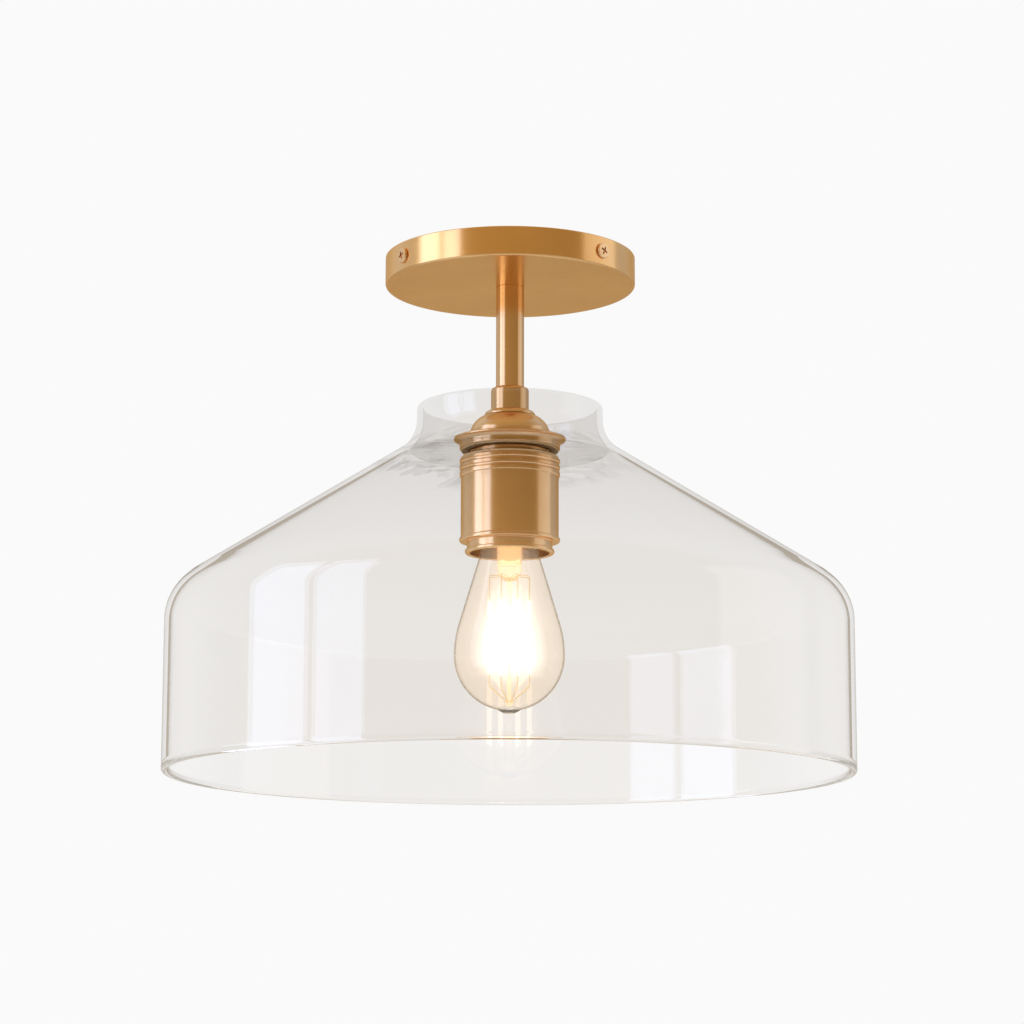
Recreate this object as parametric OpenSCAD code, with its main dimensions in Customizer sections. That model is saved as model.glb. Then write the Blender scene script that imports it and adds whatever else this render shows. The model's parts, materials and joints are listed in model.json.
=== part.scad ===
// Semi-flush ceiling light: brass canopy and short stem, a bell of clear glass and a teardrop lamp.
// Sizes are in millimetres. The origin is the middle of the canopy's open rim, in the plane of the
// ceiling. +Z points up into the ceiling, the light hangs down along -Z, and the front is -Y.

/* [Canopy] */
// Outside diameter of the canopy
canopy_d = 132; // [118:1:180]
// Height of the canopy, from the ceiling to its underside
canopy_h = 15.5; // [15:0.5:30]
// Thickness of the spun brass of the canopy
canopy_wall = 1.2; // [0.8:0.1:1.6]
// Rounding of the canopy's lower outside edge
canopy_edge_r = 1.4; // [0.6:0.1:2.5]
// Rounding of the canopy's rim at the ceiling
canopy_rim_r = 0.5; // [0.2:0.1:0.6]

/* [Canopy side screws] */
// Direction of the left side screw, in degrees round from the front
screw_left_az = -57; // [-80:1:-40]
// Direction of the right side screw, in degrees round from the front
screw_right_az = 46; // [40:1:80]
// Direction of the back side screw, in degrees round from the front
screw_back_az = 175; // [160:1:200]
// Thread diameter of a side screw
side_screw_d = 4; // [3:0.5:5]
// Length of a side screw under its head
side_screw_len = 8; // [6:0.5:12]
// Diameter of a side screw's head
side_head_d = 8; // [6.5:0.5:10]
// Height of a side screw's domed head
side_head_h = 1.6; // [1.2:0.1:2.4]

/* [Mounting plate] */
// Diameter of the steel plate that is screwed to the ceiling box
plate_d = 104; // [102:1:110]
// Thickness of the mounting plate
plate_t = 1.6; // [1.2:0.1:2.5]
// Diameter of the hole that the house wires come through
plate_hole_d = 28; // [16:1:34]
// Distance between the middles of the two slots for the ceiling-box screws
box_slot_spacing = 80; // [70:1:84]
// End-to-end length of one slot
box_slot_len = 14; // [8:1:18]
// Width of one slot
box_slot_w = 4.6; // [4:0.1:5.5]
// Width of the three bent-down ears
ear_w = 14; // [10:1:18]
// Distance that an ear reaches below the axis of its screw
ear_reach = 4.6; // [3.5:0.1:5.5]
// Thread diameter of the earth screw
earth_screw_d = 4; // [3:0.5:5]

/* [Terminal block] */
// Distance between two poles of the terminal block
pole_pitch = 8; // [8:0.5:10]
// Length of the terminal block along its wires
block_len = 14; // [12:1:18]
// Height of the terminal block
block_h = 8; // [7.5:0.1:9]
// Distance from the stem's axis to the front face of the terminal block
block_y = 24; // [23:1:28]
// Diameter of a clamp screw
clamp_screw_d = 2.6; // [2:0.1:3]

/* [Leads] */
// Diameter of an insulated lead
lead_d = 1.8; // [1.4:0.1:2]
// Radius of a bend in a lead, at its middle
lead_bend_r = 3; // [2.5:0.1:3.2]
// Distance from the stem's axis to a live or neutral lead
lead_offset = 1.5; // [1.2:0.1:1.8]

/* [Threaded nipples] */
// Outside diameter of the two hollow threaded nipples
nipple_d = 10; // [9:0.5:11]
// Bore of a nipple
nipple_bore = 7.2; // [6.6:0.1:7.6]
// Distance across the flats of a locknut
nut_af = 14; // [13:0.5:15]
// Thickness of a locknut
nut_t = 2.7; // [2:0.1:3]
// Length of a nipple that stands out of its locknut
nipple_proud = 0.6; // [0.2:0.1:1]
// Thickness of a flat washer
washer_t = 0.8; // [0.5:0.1:1]
// Diameter of the washer in the canopy
canopy_washer_d = 22; // [18:1:30]
// Diameter of the washer in the socket dome
dome_washer_d = 18; // [16:0.5:19]

/* [Stem] */
// Outside diameter of the stem tube
stem_d = 14.8; // [14:0.1:17]
// Wall of the stem tube
stem_wall = 1.2; // [0.8:0.1:1.3]
// Length of the stem, from the canopy's underside to the socket dome
stem_len = 67.1; // [45:0.1:200]
// Length of the threaded bush in each end of the stem
bush_len = 14; // [8:1:20]
// Outside diameter of the collar round the foot of the stem
collar_d = 19.8; // [19.2:0.1:24]
// Height of that collar
collar_h = 12.6; // [8:0.1:20]
// Rounding of the collar's upper edge
collar_edge_r = 1.9; // [0.5:0.1:2]

/* [Socket dome] */
// Diameter of the rounded step on top of the dome
step_d = 26.8; // [26:0.1:27.6]
// Height of that step, which is also its rounding
step_h = 2.5; // [2:0.1:2.8]
// Diameter of the dome at its foot
dome_d = 42.2; // [41.8:0.1:44]
// Height of the dome, from the stem to its foot
dome_h = 14.6; // [14:0.1:16]
// Radius of the dome's side
dome_side_r = 11.3; // [11:0.1:12]
// Height of the straight skirt at the dome's foot
dome_skirt_h = 1.2; // [1:0.1:1.5]
// Wall of the dome
dome_wall = 1.2; // [0.8:0.1:1.5]

/* [Socket bracket] */
// Thickness of the steel bracket's strip
bracket_t = 1.4; // [1:0.1:1.5]
// Width of the bracket's strip
bracket_w = 10; // [8:0.5:11]
// Distance between the outside faces of the bracket's legs
bracket_span = 22; // [20:0.5:22.5]
// Distance from the axis to each foot screw
foot_screw_r = 16.4; // [16.3:0.1:16.5]
// Thread diameter of a foot screw
foot_screw_d = 2.5; // [2:0.1:2.6]
// Length of a foot screw under its head
foot_screw_len = 8; // [6:0.5:8]

/* [Shade flange] */
// Diameter of the flange's lip
lip_d = 58.6; // [56:0.1:64]
// Thickness of the lip's edge
lip_t = 1.3; // [1:0.1:1.8]
// Diameter of the flange's collar under the lip
flange_collar_d = 52.6; // [51:0.1:54]
// Height of the flange, from the dome's foot to its seat on the gasket
flange_h = 6; // [5.5:0.1:7]
// Thickness of the flange's top plate
flange_plate_t = 2; // [1.5:0.1:2.5]
// Outside diameter of the threaded spigot that passes through the glass
spigot_d = 41.2; // [40.4:0.1:41.4]
// Bore of the spigot
spigot_bore = 37.4; // [37.2:0.1:38]
// Length of the spigot below the flange's top plate
spigot_len = 17.4; // [16:0.1:17.6]
// Depth of the spigot's thread
spigot_thread_depth = 0.4; // [0.3:0.05:0.5]
// Lift of the socket cup for one turn on the spigot's thread
spigot_pitch = 1.5; // [1:0.1:2]

/* [Glass shade] */
// Largest outside diameter of the shade
shade_d = 356; // [300:1:420]
// Thickness of the glass
glass_t = 3.4; // [2.8:0.1:4]
// Outside diameter of the open neck
neck_d = 97.4; // [90:0.1:110]
// Height of the neck's rim over the glass floor in it
neck_h = 23.8; // [20:0.1:40]
// Straight part of the neck, under its rim
neck_straight = 7; // [4:0.1:12]
// Radius of the hollow curve from the neck to the cone
neck_fillet_r = 21.2; // [18:0.1:23]
// Slope of the cone, in degrees from level
cone_slope = 32.6; // [28:0.1:36]
// Radius of the shoulder from the cone to the wall
shoulder_r = 26.3; // [15:0.1:40]
// Height of the straight wall, from the shoulder to the rim
wall_h = 78.2; // [50:0.1:120]
// Thickness of the glass floor in the neck
floor_t = 3.6; // [3:0.1:4]
// Diameter of the hole in the glass floor
floor_hole_d = 42.4; // [42:0.1:43]
// Thickness of each rubber gasket
gasket_t = 0.8; // [0.5:0.1:1.2]
// Outside diameter of the gaskets
gasket_d = 51; // [48:0.5:52]

/* [Socket cup] */
// Diameter over the ridges at the top of the cup
ridge_d = 52.6; // [52.2:0.1:54]
// Height of the ridged part of the cup
ridge_h = 9.6; // [9:0.1:10.5]
// Number of grooves between the ridges
groove_count = 2; // [1:1:3]
// Depth of a groove
groove_depth = 0.9; // [0.5:0.1:1.1]
// Diameter of the plain body of the cup
cup_d = 51.2; // [50.4:0.1:51.6]
// Wall of the cup's body
cup_wall = 1.2; // [0.8:0.1:1.5]
// Height of the cup, over all
cup_h = 43.4; // [42:0.1:60]
// Diameter of the lip at the foot of the cup
cup_lip_d = 52.6; // [52.2:0.1:54]
// Height of that lip
cup_lip_h = 2.2; // [1.6:0.1:3]
// Wall of the fibre liner in the cup
liner_t = 0.5; // [0.4:0.1:0.8]

/* [End ring] */
// Height of the end ring's collar inside the cup
end_collar_h = 5.8; // [4:0.1:8]
// Diameter of the end ring's neck below the cup
end_neck_d = 44.6; // [44:0.1:46]
// Height of that neck
end_neck_h = 4.4; // [2:0.1:5.5]
// Diameter of the bead at the end ring's foot
end_bead_d = 46.6; // [46.2:0.1:48]
// Height of that bead
end_bead_h = 2.1; // [1.6:0.1:3]
// Diameter of the opening that the lamp's neck passes
end_opening_d = 41.4; // [40:0.1:42.5]

/* [Lampholder] */
// Outside diameter of the phenolic lampholder
holder_d = 36.6; // [36.2:0.1:36.8]
// Height of the lampholder below the flange's top plate
holder_h = 29; // [27:0.1:32]
// Thickness of the web over its screw shell
holder_web_t = 4; // [3.5:0.1:4.5]
// Diameter of the boss that fills the flange's wire hole
holder_boss_d = 24.4; // [24.2:0.1:25]
// Thickness of the brass strip in the terminals
strip_t = 0.8; // [0.5:0.1:1]
// Thread diameter of a terminal screw
terminal_screw_d = 3.5; // [3:0.1:3.8]
// Distance from the axis to each terminal screw
terminal_screw_x = 8.6; // [8.4:0.1:8.7]
// Smallest bore of the screw shell
shell_bore = 26.8; // [26.7:0.1:27]
// Thickness of the screw shell's sheet
shell_t = 0.4; // [0.3:0.05:0.5]
// Length of the screw shell
shell_len = 23.2; // [20:0.1:25]

/* [Lamp] */
// Pitch of the lamp cap's thread
cap_pitch = 3.629; // [3.6:0.001:3.7]
// Diameter over the lamp cap's thread
cap_d = 26.2; // [25.8:0.1:26.3]
// Diameter at the root of the lamp cap's thread
cap_root_d = 24.6; // [24.4:0.1:25]
// Length of the lamp cap's metal shell
cap_len = 23.5; // [22:0.1:25]
// Length of the black insulator and the contact over the shell
cap_end_h = 3.2; // [2.8:0.1:4]
// Largest diameter of the glass bulb
bulb_d = 57.5; // [50:0.1:64]
// Height of the lamp over all, without its pip
lamp_h = 136; // [130:0.1:150]
// Diameter of the bulb's neck at the cap
bulb_neck_d = 26.8; // [26.4:0.1:27.4]
// Slope of the bulb's flank, in degrees from upright
bulb_flank = 16.7; // [15:0.1:18]
// Radius of the bulb's side, between its belly and its flank
bulb_side_r = 58; // [52:1:62]
// Thickness of the bulb's glass
bulb_t = 0.8; // [0.6:0.1:1]
// Width of the shallow pip where the bulb was sealed
pip_w = 12; // [8:0.5:16]
// Diameter of the glass mount that carries the wires
mount_d = 12.8; // [10:0.1:14]
// Distance from the lamp's belly up to the rounded end of the glass mount
mount_rise = 39; // [36:0.5:44]
// Number of glowing filaments
filament_count = 8; // [4:1:8]
// Length of one filament
filament_len = 37; // [30:0.5:38]
// Diameter of one filament
filament_d = 1.6; // [1:0.1:2.2]
// Distance from the axis to each filament
filament_r = 11.2; // [9:0.1:13]
// Distance from the lamp's belly down to the filaments' lower ends
filament_drop = 9.2; // [6:0.1:10]
// Diameter of the wires that hold the filaments
wire_d = 0.5; // [0.4:0.05:0.6]

/* [Hidden] */
$fn = 96;

// Colours of the finishes
brass = "#c8985c";
dark_brass = "#a97b44";
steel = "#b9bcc0";
black = "#26262a";
clear = [0.86, 0.88, 0.89, 0.35];

// Small distances that the fits share
thread_gap = 0.1;    // between a thread and the hole it is screwed into
fit_gap = 0.05;      // between two pieces of one joint that are soldered or pressed
slide_gap = 0.1;     // between the collar and the stem
move_gap = 0.3;      // between pieces that move past each other
skin = 0.01;         // how far a cutting shape stands out of what it cuts

// Levels in the canopy, from the ceiling down
canopy_r = canopy_d / 2;
canopy_inner_r = canopy_r - canopy_wall;
z_canopy_floor = -canopy_h + canopy_wall;
z_side_screw = -canopy_h / 2;
z_lug = z_canopy_floor + washer_t;
z_canopy_nut = z_lug + washer_t;
z_nipple_top = z_canopy_nut + nut_t + nipple_proud;
z_block_foot = -plate_t - block_h;
z_block_wire = -plate_t - 3.6;

// Levels down the stem and in the socket dome
z_stem_top = -canopy_h;
z_stem_foot = z_stem_top - stem_len;
z_dome_foot = z_stem_foot - dome_h;
dome_inner_r = dome_side_r - dome_wall;
dome_side_x = dome_d / 2 - dome_side_r;
z_dome_ceiling = z_dome_foot + dome_inner_r;
z_bracket_top = z_dome_ceiling - washer_t;
z_dome_nut_foot = z_bracket_top - bracket_t - nut_t;
z_nipple_foot = z_dome_nut_foot - nipple_proud;

// Levels of the clamp that holds the glass
z_plate_foot = z_dome_foot - flange_plate_t;
z_flange_foot = z_dome_foot - flange_h;
z_glass_floor = z_flange_foot - gasket_t;
z_glass_floor_foot = z_glass_floor - floor_t;
z_cup_top = z_glass_floor_foot - gasket_t;
z_cup_foot = z_cup_top - cup_h;
z_spigot_foot = z_plate_foot - spigot_len;
cup_thread_r = spigot_d / 2 + move_gap;
cup_inner_r = cup_d / 2 - cup_wall;
z_cup_body = z_cup_top - ridge_h;
z_end_collar = z_cup_foot + end_collar_h;
z_end_foot = z_cup_foot - end_neck_h - end_bead_h;

// Levels of the lampholder and of the lamp in it
z_web_foot = z_plate_foot - holder_web_t;
z_terminal = z_dome_foot;
z_holder_foot = z_plate_foot - holder_h;
contact_spring_h = 0.5;
z_lamp_top = z_web_foot - strip_t - contact_spring_h;
contact_button_h = 1.2;
z_cap_top = z_lamp_top - cap_end_h;
z_cap_foot = z_cap_top - cap_len;
z_bulb_foot = z_lamp_top - lamp_h;
z_belly = z_bulb_foot + bulb_d / 2;
cap_sheet = 0.35;

// Screw heads inside the light
foot_head_d = 4.6;
foot_head_h = 1.5;
terminal_head_d = 5.8;
terminal_head_h = 1.9;
terminal_screw_len = 4.6;
rivet_d = 2;
rivet_head_d = 2.8;
rivet_head_h = 0.5;
live_rivet = [-3.7, 3.4];
neutral_rivet = [8.6, 4.6];

// The outline of the shade: middle of the neck's hollow curve and of the shoulder's curve
cone_normal = [sin(cone_slope), cos(cone_slope)];
fillet_mid = [neck_d / 2 + neck_fillet_r, z_glass_floor + neck_h - neck_straight];
shoulder_x = shade_d / 2 - shoulder_r;
shoulder_drop = (neck_fillet_r + shoulder_r + (shoulder_x - fillet_mid[0]) * cone_normal[0])
    / cone_normal[1];
shoulder_mid = [shoulder_x, fillet_mid[1] - shoulder_drop];
z_neck_rim = z_glass_floor + neck_h;
z_shade_rim = shoulder_mid[1] - wall_h;

// The outline of the bulb: levels of its belly, flank, throat and neck, to a hundredth
function hundredth(v) = round(100 * v) / 100;
side_mid_x = bulb_d / 2 - bulb_side_r;
throat_r = 60;
throat_mid_x = bulb_neck_d / 2 + throat_r;
flank_foot_x = side_mid_x + bulb_side_r * cos(bulb_flank);
flank_head_x = throat_mid_x - throat_r * cos(bulb_flank);
z_flank_foot = hundredth(z_belly + bulb_side_r * sin(bulb_flank));
z_flank_head = hundredth(z_flank_foot + (flank_foot_x - flank_head_x) / tan(bulb_flank));
z_throat_mid = hundredth(z_flank_head + throat_r * sin(bulb_flank));
z_bulb_neck_top = z_cap_foot + 3;

// Shapes that several pieces share

// A plain ring between two levels
module ring(d_out, d_in, z_top, z_foot) {
    translate([0, 0, z_foot]) difference() {
        cylinder(d = d_out, h = z_top - z_foot);
        translate([0, 0, -1]) cylinder(d = d_in, h = z_top - z_foot + 2);
    }
}

// What is cut away to round the corner at point "at" of an outline; "toward" points into the solid
module round_off(at, toward, r) {
    translate(at) mirror([toward[0] < 0 ? 1 : 0, 0]) mirror([0, toward[1] < 0 ? 1 : 0])
        difference() {
            translate([-skin, -skin]) square(r + skin);
            translate([r, r]) circle(r);
        }
}

// What is added to fill the inside corner at point "at"; "toward" points out into the open
module round_in(at, toward, r) {
    translate(at) mirror([toward[0] < 0 ? 1 : 0, 0]) mirror([0, toward[1] < 0 ? 1 : 0])
        difference() {
            translate([-skin, -skin]) square(r + skin);
            translate([r, r]) circle(r);
        }
}

// A rectangle of an outline, by its inner and outer radius and its levels
module band(r_in, r_out, z_top, z_foot) {
    translate([r_in, z_foot]) square([r_out - r_in, z_top - z_foot]);
}

// A hexagon locknut with a threaded hole
module locknut(z_foot) {
    translate([0, 0, z_foot]) difference() {
        intersection() {
            cylinder(d = nut_af / cos(30), h = nut_t, $fn = 6);
            cylinder(d = nut_af * 1.1, h = nut_t);
        }
        translate([0, 0, -1]) cylinder(d = nipple_d + 2 * thread_gap, h = nut_t + 2);
    }
}

// A hollow threaded nipple: shallow grooves stand for its thread
module nipple(z_top, z_foot) {
    pitch = 1;
    depth = 0.35;
    turns = floor((z_top - z_foot) / pitch) - 1;
    rotate_extrude() difference() {
        band(nipple_bore / 2, nipple_d / 2, z_top, z_foot);
        for (i = [0:turns])
            translate([nipple_d / 2, z_foot + pitch * (i + 0.75)])
                polygon([[skin, -depth], [skin, depth], [-depth, 0]]);
    }
}

// A screw with a domed head and a cross recess; the head stands on z = 0 and the shank points down
module cross_screw(shank_d, shank_len, head_d, head_h) {
    recess = head_d * 0.55;
    slot = head_d * 0.12;
    difference() {
        union() {
            translate([0, 0, -shank_len]) cylinder(d = shank_d, h = shank_len);
            rotate_extrude() difference() {
                band(0, head_d / 2, head_h, 0);
                round_off([head_d / 2, head_h], [-1, -1], head_h * 0.6);
            }
        }
        for (a = [45, 135])
            rotate([0, 0, a]) translate([-recess / 2, -slot / 2, head_h * 0.45])
                cube([recess, slot, head_h]);
    }
}

// A screw with a flat head and one slot, the same way up
module slot_screw(shank_d, shank_len, head_d, head_h) {
    difference() {
        union() {
            translate([0, 0, -shank_len]) cylinder(d = shank_d, h = shank_len);
            cylinder(d = head_d, h = head_h);
        }
        translate([-head_d, -0.35, head_h * 0.5]) cube([2 * head_d, 0.7, head_h]);
    }
}

// A lead or wire laid in steps: [length] goes straight on, [angle, direction] bends by angle
// towards direction, in degrees about the way that the wire points
module wire(steps, d, r, i = 0) {
    if (i < len(steps)) {
        if (len(steps[i]) == 1) {
            cylinder(d = d, h = steps[i][0], $fn = 32);
            translate([0, 0, steps[i][0]]) wire(steps, d, r, i + 1);
        } else {
            a = steps[i][0];
            rotate([0, 0, steps[i][1]]) {
                translate([r, 0, 0]) rotate([90, 0, 0]) rotate([0, 0, 180 - a])
                    rotate_extrude(angle = a, $fn = 48) translate([r, 0]) circle(d = d, $fn = 32);
                translate([r * (1 - cos(a)), 0, r * sin(a)]) rotate([0, a, 0])
                    rotate([0, 0, -steps[i][1]]) wire(steps, d, r, i + 1);
            }
        }
    }
}
module lead(steps) wire(steps, lead_d, lead_bend_r);

// A part of a ring in an outline, between two radii and from one direction to another
module ring_part(mid, r_in, r_out, a_from, a_to) {
    a_mid = (a_from + a_to) / 2;
    translate(mid) intersection() {
        difference() {
            circle(r_out, $fn = 256);
            circle(r_in, $fn = 256);
        }
        polygon([
            [0, 0], 2 * r_out * [cos(a_from), sin(a_from)], 2 * r_out * [cos(a_mid), sin(a_mid)],
            2 * r_out * [cos(a_to), sin(a_to)]
        ]);
    }
}

// A straight part of a wall in an outline: from one point to another, with its depth to one side
module straight_part(from, to, depth, side) {
    polygon([from, to, to + depth * side, from + depth * side]);
}

// Puts a shape on each side screw's axis, with z = 0 on the canopy's wall and +Z outwards
module at_side_screws() {
    for (az = [screw_left_az, screw_right_az, screw_back_az])
        rotate([0, 0, az]) translate([0, -canopy_r, z_side_screw]) rotate([90, 0, 0]) children();
}

// Pieces inside and round the canopy

module canopy() color(brass) difference() {
    rotate_extrude() difference() {
        band(nipple_d / 2 + thread_gap, canopy_r, 0, -canopy_h);
        round_off([canopy_r, -canopy_h], [-1, 1], canopy_edge_r);
        round_off([canopy_r, 0], [-1, -1], canopy_rim_r);
        band(-1, canopy_inner_r, 1, z_canopy_floor);
    }
    at_side_screws() translate([0, 0, -3 * canopy_wall])
        cylinder(d = side_screw_d + 2 * thread_gap, h = 5 * canopy_wall, $fn = 48);
}

module canopy_side_screws() color(dark_brass)
    at_side_screws() cross_screw(side_screw_d, side_screw_len, side_head_d, side_head_h, $fn = 48);

ear_face = sqrt(pow(canopy_inner_r - move_gap, 2) - pow(ear_w / 2, 2));
ear_root = plate_d / 2 - 4;
module mounting_plate() color(steel) difference() {
    union() {
        translate([0, 0, -plate_t]) cylinder(d = plate_d, h = plate_t);
        for (az = [screw_left_az, screw_right_az, screw_back_az]) rotate([0, 0, az]) {
            translate([-ear_w / 2, -ear_face, -plate_t])
                cube([ear_w, ear_face - ear_root, plate_t]);
            translate([-ear_w / 2, -ear_face, z_side_screw - ear_reach])
                cube([ear_w, plate_t, -z_side_screw + ear_reach]);
        }
    }
    translate([0, 0, -plate_t - 1]) cylinder(d = plate_hole_d, h = plate_t + 2);
    for (side = [-1, 1]) translate([side * box_slot_spacing / 2, 0, -plate_t - 1]) {
        straight = box_slot_len - box_slot_w;
        for (end = [-1, 1]) translate([end * straight / 2, 0, 0])
            cylinder(d = box_slot_w, h = plate_t + 2, $fn = 48);
        translate([-straight / 2, -box_slot_w / 2, 0]) cube([straight, box_slot_w, plate_t + 2]);
    }
    at_side_screws() translate([0, 0, ear_face - canopy_r - 2 * plate_t])
        cylinder(d = side_screw_d + 2 * thread_gap, h = 4 * plate_t, $fn = 48);
    at_earth_screw() translate([0, 0, -plate_t - 1])
        cylinder(d = earth_screw_d + 2 * thread_gap, h = plate_t + 2, $fn = 48);
    at_block_screws() translate([0, 0, -1])
        cylinder(d = block_screw_d + 2 * thread_gap, h = block_h + plate_t + 2, $fn = 32);
}

module at_earth_screw() translate([-30, -16, 0]) children();

earth_head_h = 2.4;
module earth_screw() color("#3f7f4a") at_earth_screw() translate([0, 0, -plate_t])
    mirror([0, 0, 1]) slot_screw(earth_screw_d, plate_t, 2 * earth_screw_d, earth_head_h, $fn = 48);

// The terminal block hangs under the plate, behind the stem, with its wires along Y
block_w = 3 * pole_pitch;
block_screw_d = 2;
block_screw_head_d = 1.6 * block_screw_d;
module at_poles() for (p = [-1:1]) translate([p * pole_pitch, block_y, z_block_wire]) children();
module at_block_screws()
    for (side = [-1, 1])
        translate([side * pole_pitch / 2, block_y + block_len / 2, z_block_foot]) children();
sleeve_d = 4.2;
sleeve_bore = 2.8;
clamp_inset = 3.6;

module terminal_block() color("#e8e6df") difference() {
    union() {
        translate([-block_w / 2, block_y, -plate_t - block_h / 2 - 2])
            cube([block_w, block_len, block_h / 2 + 2]);
        for (p = [-1:1]) translate([(p - 0.36) * pole_pitch, block_y, z_block_foot])
            cube([0.72 * pole_pitch, block_len, block_h / 2]);
    }
    at_poles() translate([0, -1, 0]) rotate([-90, 0, 0])
        cylinder(d = sleeve_d + 2 * fit_gap, h = block_len + 2, $fn = 32);
    at_clamps() translate([0, 0, -block_h])
        cylinder(d = clamp_screw_d + 2 * thread_gap, h = block_h, $fn = 32);
    at_block_screws() translate([0, 0, -1])
        cylinder(d = block_screw_d + 2 * thread_gap, h = block_h + 2, $fn = 32);
    at_block_screws() translate([0, 0, -1])
        cylinder(d = block_screw_head_d + 2 * thread_gap, h = block_h / 2 - 1, $fn = 32);
}

// The two clamp screws of each pole point up at its sleeve
module at_clamps()
    at_poles() for (y = [clamp_inset, block_len - clamp_inset]) translate([0, y, 0]) children();

module terminal_sleeves() color(brass) difference() {
    at_poles() translate([0, fit_gap, 0]) rotate([-90, 0, 0]) difference() {
        cylinder(d = sleeve_d, h = block_len - 2 * fit_gap, $fn = 32);
        translate([0, 0, -1]) cylinder(d = sleeve_bore, h = block_len + 2, $fn = 32);
    }
    at_clamps() translate([0, 0, -block_h])
        cylinder(d = clamp_screw_d + 2 * thread_gap, h = block_h, $fn = 32);
}

module clamp_screws() color(steel) at_clamps()
    translate([0, 0, -sleeve_d / 2 - 1.6]) mirror([0, 0, 1])
        slot_screw(clamp_screw_d, 2.6, clamp_screw_d, 0.8, $fn = 32);

module block_screws() color(steel) at_block_screws() translate([0, 0, block_h / 2 - 2])
    mirror([0, 0, 1]) slot_screw(block_screw_d, block_h / 2 + 2 + plate_t, block_screw_head_d, 1,
        $fn = 32);

module canopy_nipple() color(steel) nipple(z_nipple_top, z_stem_top - bush_len);

module canopy_washer() color(steel)
    ring(canopy_washer_d, nipple_d + 2 * thread_gap, z_canopy_floor + washer_t, z_canopy_floor);

// Ring lug of the earth lead, under the locknut, with its barrel pointing to the back
lug_ring_d = 16.8;
barrel_y = 11.5;
barrel_len = 4;
barrel_wall = 0.4;
z_barrel = z_lug + lead_d / 2 + barrel_wall;
module earth_lug() color(brass) {
    difference() {
        union() {
            translate([0, 0, z_lug]) cylinder(d = lug_ring_d, h = washer_t);
            translate([-2, 0, z_lug]) cube([4, barrel_y + 1, washer_t]);
            translate([0, barrel_y, z_barrel]) rotate([-90, 0, 0])
                cylinder(d = lead_d + 2 * barrel_wall, h = barrel_len, $fn = 32);
        }
        translate([0, 0, z_lug - 1]) cylinder(d = nipple_d + 2 * thread_gap, h = washer_t + 2);
        translate([0, barrel_y + 1, z_barrel]) rotate([-90, 0, 0])
            cylinder(d = lead_d + 2 * fit_gap, h = barrel_len, $fn = 32);
    }
}

module canopy_locknut() color(steel) locknut(z_canopy_nut);

// How far a lead reaches into its sleeve in the terminal block
lead_grip = 3;
module earth_lead() color("#4b8a4f") {
    start = barrel_y + 1.2;
    rise = z_block_wire - z_barrel - 2 * lead_bend_r;
    straight = block_y + lead_grip - start - 2 * lead_bend_r;
    translate([0, start, z_barrel]) rotate([-90, 0, 0])
        lead([[straight - 4], [90, -90], [rise], [90, 90], [4]]);
}

// From a terminal screw up through the stem, over the nipple and across to the terminal block
lead_start_x = terminal_screw_x - terminal_head_d / 2 - fit_gap;
z_lead_start = z_terminal + strip_t + lead_d / 2 + thread_gap;
module power_lead() {
    s = lead_bend_r;
    translate([-lead_start_x, 0, z_lead_start]) rotate([0, 90, 0]) lead([
        [lead_start_x - lead_offset - s], [90, 180],
        [z_block_wire - z_lead_start - 2 * s], [90, 180],
        [pole_pitch - lead_offset - 2 * s], [90, 90],
        [block_y + lead_grip - s]
    ]);
}
module live_lead() color("#2f2f33") power_lead();
module neutral_lead() color("#e7e3da") mirror([1, 0, 0]) power_lead();

// Stem and socket dome

module stem_tube() color(brass) ring(stem_d, stem_d - 2 * stem_wall, z_stem_top, z_stem_foot);

module bush(z_top, z_foot)
    ring(stem_d - 2 * stem_wall - 2 * fit_gap, nipple_d + 2 * thread_gap, z_top, z_foot);
module stem_top_bush() color(dark_brass) bush(z_stem_top, z_stem_top - bush_len);
module stem_bottom_bush() color(dark_brass) bush(z_stem_foot + bush_len, z_stem_foot);

module stem_collar() color(brass) rotate_extrude() difference() {
    band(stem_d / 2 + slide_gap, collar_d / 2, z_stem_foot + collar_h, z_stem_foot);
    round_off([collar_d / 2, z_stem_foot + collar_h], [-1, -1],
        min(collar_edge_r, collar_d / 2 - stem_d / 2 - 2 * slide_gap));
}

module socket_nipple() color(steel) nipple(z_stem_foot + bush_len, z_nipple_foot);

z_step_foot = z_stem_foot - step_h;
z_dome_mid = z_dome_foot + dome_skirt_h;
module socket_dome() color(brass) rotate_extrude() difference() {
    union() {
        band(0, step_d / 2 - step_h, z_stem_foot, z_step_foot - 1);
        intersection() {
            translate([step_d / 2 - step_h, z_step_foot]) circle(step_h, $fn = 48);
            band(0, step_d, z_stem_foot, z_step_foot);
        }
        intersection() {
            union() {
                translate([dome_side_x, z_dome_mid]) circle(dome_side_r);
                band(0, dome_d / 2, z_dome_mid, z_dome_foot);
            }
            band(0, dome_d, z_step_foot, z_dome_foot);
        }
    }
    translate([dome_side_x, z_dome_foot]) circle(dome_inner_r);
    band(-1, dome_side_x, z_dome_ceiling, z_dome_foot - dome_side_r);
    band(-1, nipple_d / 2 + thread_gap, z_stem_foot + 1, z_dome_foot);
}

module dome_washer() color(steel)
    ring(dome_washer_d, nipple_d + 2 * thread_gap, z_dome_ceiling, z_bracket_top);

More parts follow.
